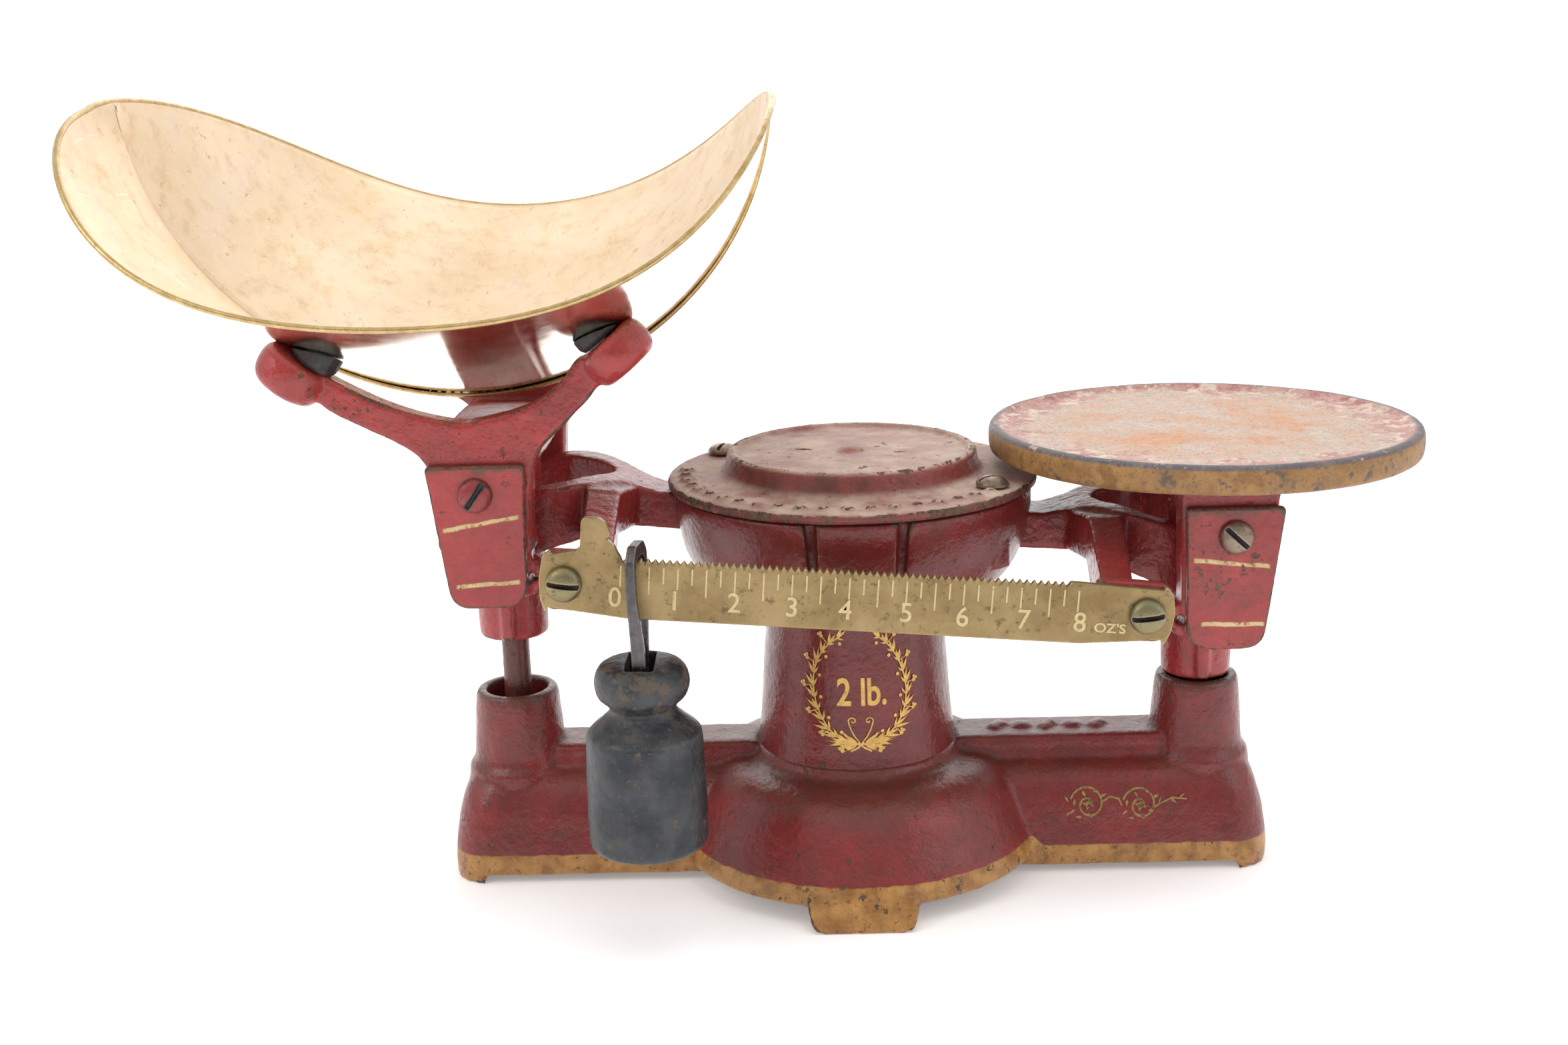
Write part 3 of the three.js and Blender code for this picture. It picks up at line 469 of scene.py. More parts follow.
def enamel(name, a, b, wear=0.5, chips=0.5, dust=0.0, gloss=0.2, pebble=0.5, gold=None, edge_at=0.35, dust_col=(0.20, 0.105, 0.075), brown=0.5, gold_cols=((0.33, 0.19, 0.055), (0.56, 0.36, 0.13)), dirt=None):
    """Old enamel on cast iron: two tones, dust on top, worn corners and chips down to brown-black iron, painted shade
    in the inner corners and in screw slots. gold is a mask for gilt paint, dirt one for extra brown dirt.
    """
    m = Mat(name)
    big = m.noise(22, 5)
    mid = m.noise(4.5, 5, 0.6, seed=3.1)
    fine = m.noise(0.9, 3, 0.6, seed=1.7)
    col = m.mix(m.ramp(m.op("ADD", m.op("MULTIPLY", big, 0.6), m.op("MULTIPLY", mid, 0.4)), 0.36, 0.62), a, b)
    # darker blotches where the enamel has browned
    blot = m.ramp(m.op("ADD", m.op("MULTIPLY", m.noise(9, 6, 0.68, seed=21.0), 0.7), m.op("MULTIPLY", fine, 0.3)), 0.44, 0.60, 0.0, 0.80 * brown)
    col = m.mix(blot, col, (0.075, 0.030, 0.020))
    edge = m.edge()
    # grime in the inner corners
    # painted shade: the inner corners darkened almost to black, broken up by noise
    corner_shade = m.op("MULTIPLY", m.ramp(edge, -0.05, -0.45), m.ramp(mid, 0.3, 0.7, 0.5, 1.0))
    col = m.mix(m.op("MULTIPLY", corner_shade, 0.75), col, (0.020, 0.012, 0.010))
    if dust:
        d = m.op("MULTIPLY", m.ramp(m.up(), 0.45, 0.9), m.ramp(m.noise(12, 6, 0.65, seed=8.0), 0.30, 0.62))
        col = m.mix(m.op("MULTIPLY", d, dust), col, dust_col)
    if dirt is not None:
        col = m.mix(dirt(m), col, (0.085, 0.050, 0.034))
    # gilt
    if gold is not None:
        g = gold(m)
        gold_col = m.mix(m.ramp(m.noise(6.5, 6, 0.66, seed=4.4), 0.36, 0.64), *gold_cols)
        gold_col = m.mix(m.ramp(m.noise(2.8, 7, 0.72, seed=31.0), 0.56, 0.63, 0.0, 0.7), gold_col, (0.13, 0.060, 0.024))
        col = m.mix(g, col, gold_col)
    # wear along corners, broken up by noise, and scattered chips in two sizes
    w = m.op("ADD", m.op("MULTIPLY", m.ramp(edge, edge_at * 0.4, edge_at * 1.6), 0.9), m.op("MULTIPLY", m.op("SUBTRACT", mid, 0.5), 1.7))
    w = m.ramp(m.op("ADD", w, m.op("MULTIPLY", m.op("SUBTRACT", fine, 0.5), 0.9)), 0.95 - 0.5 * wear, 1.02 - 0.5 * wear)
    sp = m.noise(3.2, 6, 0.72, seed=11.0)
    c = m.ramp(m.op("ADD", sp, m.op("MULTIPLY", m.op("SUBTRACT", big, 0.5), 0.45)), 0.695 - 0.06 * chips, 0.706 - 0.06 * chips)
    c2 = m.ramp(m.op("ADD", m.noise(1.3, 4, 0.65, seed=41.0), m.op("MULTIPLY", m.op("SUBTRACT", m.noise(14, 3, seed=43.0), 0.5), 0.5)), 0.722 - 0.05 * chips, 0.740 - 0.05 * chips)
    bare = m.op("MAXIMUM", m.op("MAXIMUM", w, c), c2)
    # painted shade: screw slot bottoms darkened almost to black
    slot = m.node("ShaderNodeAttribute", attribute_name="slot_shade").outputs["Fac"]
    iron = m.mix(m.ramp(m.noise(1.6, 5, seed=6.0), 0.36, 0.62), IRON, (0.150, 0.088, 0.052))
    col = m.mix(bare, col, iron)
    col = m.mix(slot, col, (0.016, 0.010, 0.008))
    rough = m.ramp(m.noise(7, 6, 0.7, seed=2.0), 0.35, 0.7, gloss, gloss + 0.16)
    rough = m.op("ADD", rough, m.op("MULTIPLY", bare, 0.32), clamp=True)
    # the painted corner shade also makes the inner corners rougher
    rough = m.op("ADD", rough, m.op("MULTIPLY", corner_shade, 0.25), clamp=True)
    if dust:
        rough = m.op("ADD", rough, m.op("MULTIPLY", d, 0.30 * dust), clamp=True)
    # sand-cast skin under the enamel: grains and slow dents
    skin_h = m.op("ADD", m.noise(1.7, 4, 0.6, seed=5.0), m.op("MULTIPLY", m.noise(5.0, 4, 0.6, seed=51.0), 1.1))
    h = m.op("ADD", skin_h, m.op("MULTIPLY", bare, -0.30))
    nrm = m.bump(h, 0.30 * pebble + 0.02, 1.0)
    return m.finish(col, rough, m.op("MULTIPLY", bare, 0.30), nrm, coat=None, spec=0.5)


def z_band(lo, hi, soft=0.25, ragged=0.6):
    """Gilt between two heights in mm, with a brushed edge."""
    def mask(m):
        z = m.op("MULTIPLY", m.xyz()[2], 1000.0)
        z = m.op("ADD", z, m.op("MULTIPLY", m.op("SUBTRACT", m.noise(3.0, 4, seed=9.0), 0.5), ragged * 2))
        up = m.ramp(z, lo - soft, lo + soft)
        dn = m.ramp(z, hi - soft, hi + soft, 1.0, 0.0)
        worn = m.ramp(m.noise(1.4, 5, 0.7, seed=12.0), 0.28, 0.36)
        return m.op("MULTIPLY", m.op("MULTIPLY", up, dn), worn)
    return mask


def lines(bands, width=0.55, slope=0.0):
    """Thin gilt stripes: bands are (height at x0, x0, slope) in mm of the object's own frame."""
    def mask(m):
        x, y, z = m.xyz()
        z = m.op("MULTIPLY", z, 1000.0)
        x = m.op("SUBTRACT", m.op("MULTIPLY", x, 1000.0), OX)
        z = m.op("ADD", z, m.op("MULTIPLY", m.op("SUBTRACT", m.noise(5, 2, seed=14.0), 0.5), 0.9))
        tot = None
        for h, x0, s in bands:
            d = m.op("ABSOLUTE", m.op("SUBTRACT", z, m.op("ADD", h, m.op("MULTIPLY", m.op("SUBTRACT", x, x0), s))))
            one = m.ramp(d, width * 0.8, width * 1.2, 1.0, 0.0)
            tot = one if tot is None else m.op("MAXIMUM", tot, one)
        return m.op("MULTIPLY", tot, m.ramp(m.noise(2.2, 5, 0.7, seed=15.0), 0.36, 0.46))
    return mask


RED_A, RED_B = (0.142, 0.0140, 0.0135), (0.232, 0.024, 0.023)
HOT_A, HOT_B = (0.290, 0.024, 0.025), (0.385, 0.038, 0.037)


def about(m):
    """Distances in mm from the column's axis: x, y, radius and height."""
    x, y, z = m.xyz()
    X = m.op("SUBTRACT", m.op("MULTIPLY", x, 1000.0), OX)
    Y = m.op("SUBTRACT", m.op("MULTIPLY", y, 1000.0), OY)
    r = m.op("SQRT", m.op("ADD", m.op("MULTIPLY", X, X), m.op("MULTIPLY", Y, Y)))
    return X, Y, r, m.op("MULTIPLY", z, 1000.0)


def base_gold(m):
    """Wide gilt band round the foot, chipped along the lower edge."""
    X, Y, r, Z = about(m)
    Zn = m.op("ADD", Z, m.op("MULTIPLY", m.op("SUBTRACT", m.noise(5.0, 6, 0.65, seed=9.0), 0.5), 1.6))
    top = m.ramp(r, 51.4, 54.5, 10.9, 8.2)
    on = m.ramp(m.op("SUBTRACT", top, Zn), 0.0, 0.35)
    on = m.op("MULTIPLY", on, m.ramp(r, 46.0, 46.6))
    low = m.op("ADD", m.noise(3.4, 7, 0.72, seed=12.0), m.op("MULTIPLY", m.ramp(Zn, 0.0, 4.5), 0.16))
    return m.op("MULTIPLY", on, m.ramp(low, 0.47, 0.52, 0.12, 1.0))


def base_dirt(m):
    """Brown dust on the flat tops beside the column and round the sockets' feet."""
    X, Y, r, Z = about(m)
    near = m.ramp(r, 60.0, 28.0)
    ring = m.ramp(m.op("ABSOLUTE", m.op("SUBTRACT", m.op("ABSOLUTE", X), ARM)), 22.0, 12.0)
    where = m.op("MULTIPLY", m.op("MAXIMUM", near, m.op("MULTIPLY", ring, 0.6)), m.ramp(Z, 24.0, 27.0))
    n = m.ramp(m.noise(3.0, 6, 0.7, seed=52.0), 0.36, 0.60)
    rim = m.ramp(Z, 48.0, 50.4)
    return m.op("MULTIPLY", m.op("MAXIMUM", m.op("MULTIPLY", where, m.op("MULTIPLY", n, m.ramp(m.up(), 0.35, 0.9))), m.op("MULTIPLY", rim, 0.9)), 0.72)


def shield_wear(sx, top):
    """Worn grey-brown top edge and corners of a bearing cover."""
    def mask(m):
        X, Y, r, Z = about(m)
        n = m.noise(3.5, 6, 0.7, seed=61.0)
        return m.op("MULTIPLY", m.ramp(m.op("ADD", Z, m.op("MULTIPLY", m.op("SUBTRACT", n, 0.5), 9.0)), top - 2.4, top - 0.4), 0.8)
    return mask


def stripes(bands, width=0.5):
    """Thin gilt stripes: bands are (height, middle x, half length, slope) in mm."""
    def mask(m):
        X, Y, r, Z = about(m)
        Z = m.op("ADD", Z, m.op("MULTIPLY", m.op("SUBTRACT", m.noise(5, 2, seed=14.0), 0.5), 0.9))
        tot = None
        for h, x0, half, s in bands:
            dx = m.op("SUBTRACT", X, x0)
            d = m.op("ABSOLUTE", m.op("SUBTRACT", Z, m.op("ADD", h, m.op("MULTIPLY", dx, s))))
            one = m.op("MULTIPLY", m.ramp(d, width * 0.8, width * 1.3, 1.0, 0.0), m.ramp(m.op("ABSOLUTE", dx), half - 0.4, half + 0.2, 1.0, 0.0))
            tot = one if tot is None else m.op("MAXIMUM", tot, one)
        return m.op("MULTIPLY", tot, m.ramp(m.noise(2.2, 5, 0.7, seed=15.0), 0.34, 0.44))
    return mask


M_BASE = enamel("base_enamel", RED_A, RED_B, wear=0.62, chips=0.62, dust=0.22, gloss=0.20, pebble=0.8, gold=base_gold, dirt=base_dirt, brown=0.55, gold_cols=((0.245, 0.105, 0.024), (0.450, 0.225, 0.062)))
M_COL = enamel("column_enamel", RED_A, (0.205, 0.022, 0.021), wear=0.30, chips=0.25, gloss=0.17, pebble=0.7, brown=0.45)
M_BEAM = enamel("beam_enamel", (0.20, 0.018, 0.018), (0.31, 0.030, 0.029), wear=0.55, chips=0.45, gloss=0.13, pebble=1.3, brown=0.45)
M_HANG = enamel("hanger_enamel", HOT_A, HOT_B, wear=0.74, chips=0.6, dust=0.15, gloss=0.17, pebble=0.8, brown=0.45)
M_SHL = enamel("left_cover_enamel", HOT_A, HOT_B, wear=0.5, chips=0.5, gloss=0.16, pebble=0.45, gold=stripes([(108.6, -94.8, 9.7, 0.17), (92.6, -93.9, 8.1, 0.05)]), brown=0.3, dirt=shield_wear(-1, KL[1] + 12.8), gold_cols=((0.50, 0.36, 0.15), (0.66, 0.50, 0.24)))
M_SHR = enamel("right_cover_enamel", (0.265, 0.026, 0.025), (0.345, 0.038, 0.036), wear=0.6, chips=0.7, gloss=0.16, pebble=0.45, gold=stripes([(93.6, 94.9, 9.6, -0.10), (77.5, 95.6, 8.0, -0.02)]), brown=0.5, dirt=shield_wear(1, KR[1] + 12.8), gold_cols=((0.50, 0.36, 0.15), (0.66, 0.50, 0.24)))
M_CAP = enamel("cover_paint", (0.165, 0.030, 0.026), (0.25, 0.055, 0.045), wear=0.92, chips=0.5, dust=0.95, gloss=0.36, pebble=0.8, dust_col=(0.42, 0.320, 0.255), brown=0.8)
M_RODP = enamel("rod_enamel", (0.085, 0.018, 0.014), (0.13, 0.028, 0.020), wear=0.7, chips=0.9, gloss=0.24, pebble=0.6, brown=1.0)


def steel(name, a, b, rough=0.32, rust=0.4, scratch=True):
    """Browned steel with rust freckles."""
    m = Mat(name)
    n = m.noise(3, 6, 0.65, seed=1.0)
    col = m.mix(m.ramp(n, 0.35, 0.65), a, b)
    r = m.ramp(m.op("ADD", m.noise(1.6, 6, 0.7, seed=6.0), m.op("MULTIPLY", m.ramp(m.edge(), 0.0, -0.6), 0.2)), 0.62 - 0.12 * rust, 0.70 - 0.12 * rust)
    col = m.mix(r, col, (0.17, 0.075, 0.035))
    # painted shade: screw slot bottoms darkened almost to black
    col = m.mix(m.op("MULTIPLY", m.node("ShaderNodeAttribute", attribute_name="slot_shade").outputs["Fac"], 0.93), col, (0.018, 0.012, 0.009))
    bright = m.op("MULTIPLY", m.ramp(m.edge(), 0.35, 1.2), 0.6)
    col = m.mix(m.op("MULTIPLY", bright, 0.6), col, (0.42, 0.38, 0.34))
    rg = m.op("ADD", m.ramp(m.noise(0.8, 4, seed=2.0), 0.3, 0.7, rough - 0.06, rough + 0.10), m.op("MULTIPLY", r, 0.35), clamp=True)
    h = m.noise(0.9, 5, 0.65, seed=5.0)
    if scratch:
        h = m.op("ADD", h, m.op("MULTIPLY", m.noise(0.5, 2, seed=7.0, stretch=(1, 1, 14)), 0.4))
    return m.finish(col, rg, m.op("SUBTRACT", 0.92, m.op("MULTIPLY", r, 0.6)), m.bump(h, 0.05))


M_SCREW = steel("brown_steel", (0.20, 0.145, 0.11), (0.30, 0.23, 0.18), 0.34, 0.5)
M_BRASSY = steel("verdigris_brass", (0.30, 0.22, 0.10), (0.20, 0.20, 0.12), 0.36, 0.35)
M_ROD = steel("rod_steel", (0.22, 0.16, 0.12), (0.33, 0.27, 0.22), 0.36, 0.6)
M_KNIFE = steel("knife_steel", (0.36, 0.36, 0.36), (0.28, 0.28, 0.29), 0.25, 0.1)
M_BAIL = steel("bail_steel", (0.07, 0.07, 0.075), (0.13, 0.12, 0.12), 0.28, 0.3)


def poise_material():
    m = Mat("poise_iron")
    X, Y, r, Z = about(m)
    n = m.noise(9, 6, 0.6)
    col = m.mix(m.ramp(n, 0.38, 0.62), (0.024, 0.027, 0.031), (0.056, 0.060, 0.066))
    patina = m.mix(m.noise(1.0, 4, seed=3.0), (0.072, 0.046, 0.028), (0.115, 0.088, 0.058))
    r1 = m.ramp(m.op("ADD", m.noise(2.6, 7, 0.72, seed=2.0), m.op("MULTIPLY", n, 0.15)), 0.655, 0.70)
    head = m.op("MULTIPLY", m.ramp(Z, 59.0, 68.0), m.ramp(m.noise(4.2, 6, 0.7, seed=7.0), 0.50, 0.58))
    r1 = m.op("MAXIMUM", r1, m.op("MULTIPLY", head, 0.85))
    col = m.mix(r1, col, patina)
    e = m.ramp(m.edge(), 0.12, 0.6)
    col = m.mix(m.op("MULTIPLY", e, 0.45), col, (0.14, 0.135, 0.13))
    rg = m.op("ADD", m.ramp(m.noise(4, 5, seed=4.0), 0.3, 0.7, 0.30, 0.46), m.op("MULTIPLY", r1, 0.25), clamp=True)
    h = m.op("ADD", m.noise(1.3, 5, 0.6, seed=5.0), m.op("MULTIPLY", r1, 0.25))
    return m.finish(col, rg, m.op("SUBTRACT", 0.45, m.op("MULTIPLY", r1, 0.4)), m.bump(h, 0.18))


def plate_material():
    """Plate: bare grey middle with orange rust, flaked rose paint towards the rim, ochre band on the side."""
    m = Mat("plate_paint")
    x, y, z = m.xyz()
    X = m.op("SUBTRACT", m.op("MULTIPLY", x, 1000.0), OX + KR[0])
    Y = m.op("SUBTRACT", m.op("MULTIPLY", y, 1000.0), OY)
    r = m.op("SQRT", m.op("ADD", m.op("MULTIPLY", X, X), m.op("MULTIPLY", Y, Y)))
    n1 = m.noise(16, 7, 0.68, seed=1.0)
    n2 = m.noise(3.2, 7, 0.72, seed=2.0)
    n3 = m.noise(0.8, 4, 0.6, seed=3.0)
    bare = m.mix(m.ramp(n2, 0.38, 0.62), (0.33, 0.235, 0.180), (0.50, 0.395, 0.320))
    bare = m.mix(m.ramp(m.op("ADD", m.op("MULTIPLY", n1, 0.6), m.op("MULTIPLY", n2, 0.4)), 0.47, 0.58, 0.0, 0.9), bare, (0.46, 0.200, 0.075))
    bare = m.mix(m.ramp(n3, 0.60, 0.66), bare, (0.09, 0.055, 0.045))
    rose = m.mix(m.ramp(n2, 0.4, 0.6), (0.25, 0.085, 0.070), (0.42, 0.235, 0.195))
    rose = m.mix(m.ramp(m.noise(5.5, 7, 0.72, seed=19.0), 0.52, 0.57, 0.0, 0.9), rose, (0.53, 0.42, 0.33))
    t = m.op("ADD", m.ramp(r, 24.0, 62.0), m.op("ADD", m.op("MULTIPLY", m.op("SUBTRACT", n1, 0.5), 2.2), m.op("MULTIPLY", m.op("SUBTRACT", n2, 0.5), 1.3)))
    paint = m.ramp(t, 0.58, 0.63)
    lip = m.op("MULTIPLY", m.op("MULTIPLY", m.ramp(t, 0.545, 0.575), m.ramp(t, 0.605, 0.575)), 0.8)
    col = m.mix(lip, m.mix(paint, bare, rose), (0.62, 0.52, 0.42))
    col = m.mix(m.ramp(m.noise(1.0, 5, 0.7, seed=23.0), 0.64, 0.69), col, (0.085, 0.045, 0.035))
    dark = m.mix(m.ramp(n2, 0.42, 0.6), (0.050, 0.060, 0.078), (0.16, 0.12, 0.10))
    rim = m.op("MULTIPLY", m.ramp(r, 54.2, 55.4), m.ramp(n2, 0.36, 0.44))
    col = m.mix(rim, col, dark)
    Z = m.op("MULTIPLY", z, 1000.0)
    side = m.op("MULTIPLY", m.ramp(r, 56.2, 56.6), m.ramp(Z, 121.6, 121.1))
    ochre = m.mix(m.ramp(n2, 0.40, 0.62), (0.22, 0.105, 0.030), (0.36, 0.190, 0.060))
    ochre = m.mix(m.ramp(m.op("ADD", m.op("MULTIPLY", n1, 0.55), m.op("MULTIPLY", n2, 0.45)), 0.52, 0.57), ochre, (0.105, 0.070, 0.048))
    ochre = m.mix(m.ramp(n3, 0.61, 0.66), ochre, (0.13, 0.07, 0.04))
    col = m.mix(side, col, ochre)
    rg = m.ramp(n2, 0.3, 0.7, 0.42, 0.66)
    h = m.op("ADD", m.op("MULTIPLY", paint, 0.35), m.op("MULTIPLY", m.noise(1.2, 6, 0.7, seed=4.0), 0.8))
    return m.finish(col, rg, m.op("MULTIPLY", m.op("SUBTRACT", 1.0, paint), 0.25), m.bump(h, 0.14))


def bar_material():
    m = Mat("bar_brass")
    n1 = m.noise(14, 6, 0.65, seed=1.0)
    n2 = m.noise(2.0, 6, 0.7, seed=2.0)
    col = m.mix(m.ramp(n1, 0.36, 0.64), (0.225, 0.150, 0.064), (0.345, 0.245, 0.115))
    col = m.mix(m.ramp(n2, 0.56, 0.66, 0.0, 0.7), col, (0.085, 0.058, 0.028))
    col = m.mix(m.ramp(m.edge(), 0.3, 1.4, 0.0, 0.5), col, (0.55, 0.42, 0.20))
    rg = m.ramp(m.noise(5, 6, 0.7, seed=3.0), 0.3, 0.7, 0.33, 0.50)
    h = m.op("ADD", m.noise(0.6, 4, seed=4.0), m.op("MULTIPLY", m.noise(0.8, 2, seed=6.0, stretch=(0.05, 1, 1)), 0.7))
    return m.finish(col, rg, 0.72, m.bump(h, 0.035))


def gilt(name, a=(0.60, 0.44, 0.18), b=(0.42, 0.28, 0.10), rough=0.36, metal=0.5):
    m = Mat(name)
    col = m.mix(m.ramp(m.noise(1.6, 6, 0.7, seed=1.0), 0.35, 0.65), a, b)
    col = m.mix(m.ramp(m.noise(0.7, 4, 0.7, seed=2.0), 0.62, 0.68), col, (0.12, 0.03, 0.02))
    return m.finish(col, m.ramp(m.noise(1.0, 4, seed=3.0), 0.3, 0.7, rough, rough + 0.15), metal, m.bump(m.noise(0.5, 3, seed=4.0), 0.02))


def scoop_inside():
    m = Mat("scoop_inside")
    n1 = m.noise(45, 5, 0.6, seed=1.0)
    n2 = m.noise(6, 7, 0.7, seed=2.0)
    col = m.mix(m.ramp(n1, 0.35, 0.65), (0.76, 0.575, 0.375), (0.88, 0.70, 0.50))
    col = m.mix(m.ramp(n2, 0.52, 0.70, 0.0, 0.5), col, (0.62, 0.43, 0.25))
    blotch = m.noise(13, 6, 0.7, seed=8.0, stretch=(1.0, 0.5, 0.7))
    col = m.mix(m.ramp(blotch, 0.50, 0.66, 0.0, 0.45), col, (0.80, 0.66, 0.56))
    col = m.mix(m.ramp(blotch, 0.44, 0.34, 0.0, 0.40), col, (0.66, 0.46, 0.22))
    col = m.mix(m.ramp(m.noise(2.2, 5, 0.7, seed=14.0, stretch=(1.0, 0.4, 0.6)), 0.63, 0.69, 0.0, 0.55), col, (0.42, 0.27, 0.13))
    col = m.mix(m.ramp(m.noise(1.3, 4, 0.6, seed=17.0), 0.70, 0.74, 0.0, 0.8), col, (0.20, 0.13, 0.08))
    s1 = m.noise(0.55, 3, 0.6, seed=3.0, stretch=(1.0, 0.03, 0.35))
    s2 = m.noise(0.7, 3, 0.6, seed=5.0, stretch=(0.06, 0.9, 0.8))
    scratch = m.op("MAXIMUM", m.ramp(s1, 0.62, 0.70), m.op("MULTIPLY", m.ramp(s2, 0.66, 0.72), 0.6))
    col = m.mix(m.op("MULTIPLY", scratch, 0.30), col, (0.95, 0.82, 0.66))
    rg = m.op("ADD", m.ramp(n2, 0.3, 0.7, 0.44, 0.54), m.op("MULTIPLY", scratch, -0.08))
    h = m.op("ADD", m.op("MULTIPLY", scratch, 0.5), m.op("MULTIPLY", n2, 0.3))
    return m.finish(col, rg, 0.85, m.bump(h, 0.03))


def scoop_outside():
    m = Mat("scoop_outside")
    n2 = m.noise(8, 6, 0.7, seed=2.0)
    col = m.mix(m.ramp(n2, 0.35, 0.65), (0.87, 0.76, 0.58), (0.94, 0.85, 0.70))
    sc = m.ramp(m.noise(0.6, 3, 0.6, seed=3.0, stretch=(0.05, 1, 0.5)), 0.64, 0.72)
    rg = m.op("ADD", m.ramp(n2, 0.4, 0.75, 0.09, 0.17), m.op("MULTIPLY", sc, 0.12))
    return m.finish(col, rg, 1.0, m.bump(m.op("ADD", m.noise(26, 2, seed=4.0), m.op("MULTIPLY", sc, 0.02)), 0.10))


def rubber_material():
    m = Mat("black_rubber")
    col = m.mix(m.ramp(m.noise(2.5, 6, 0.7), 0.4, 0.7), (0.012, 0.011, 0.010), (0.035, 0.028, 0.024))
    return m.finish(col, m.ramp(m.noise(1.5, 5, seed=2.0), 0.3, 0.7, 0.42, 0.62), 0.0, m.bump(m.noise(0.8, 4, seed=3.0), 0.06))


M_POISE, M_PLATE, M_BAR = poise_material(), plate_material(), bar_material()
M_GILT, M_MARK = gilt("gold_leaf", (0.80, 0.50, 0.15), (0.56, 0.33, 0.09)), gilt("scale_marks", (0.62, 0.50, 0.27), (0.50, 0.39, 0.20), 0.42, 0.5)
M_IN, M_OUT, M_RUB = scoop_inside(), scoop_outside(), rubber_material()
M_LEAD = steel("lead", (0.16, 0.165, 0.17), (0.10, 0.10, 0.105), 0.5, 0.0)


# ------------------------------------------------------------------ base
def sgn(s, a, b):
    return (a, b) if s > 0 else (-b, -a)


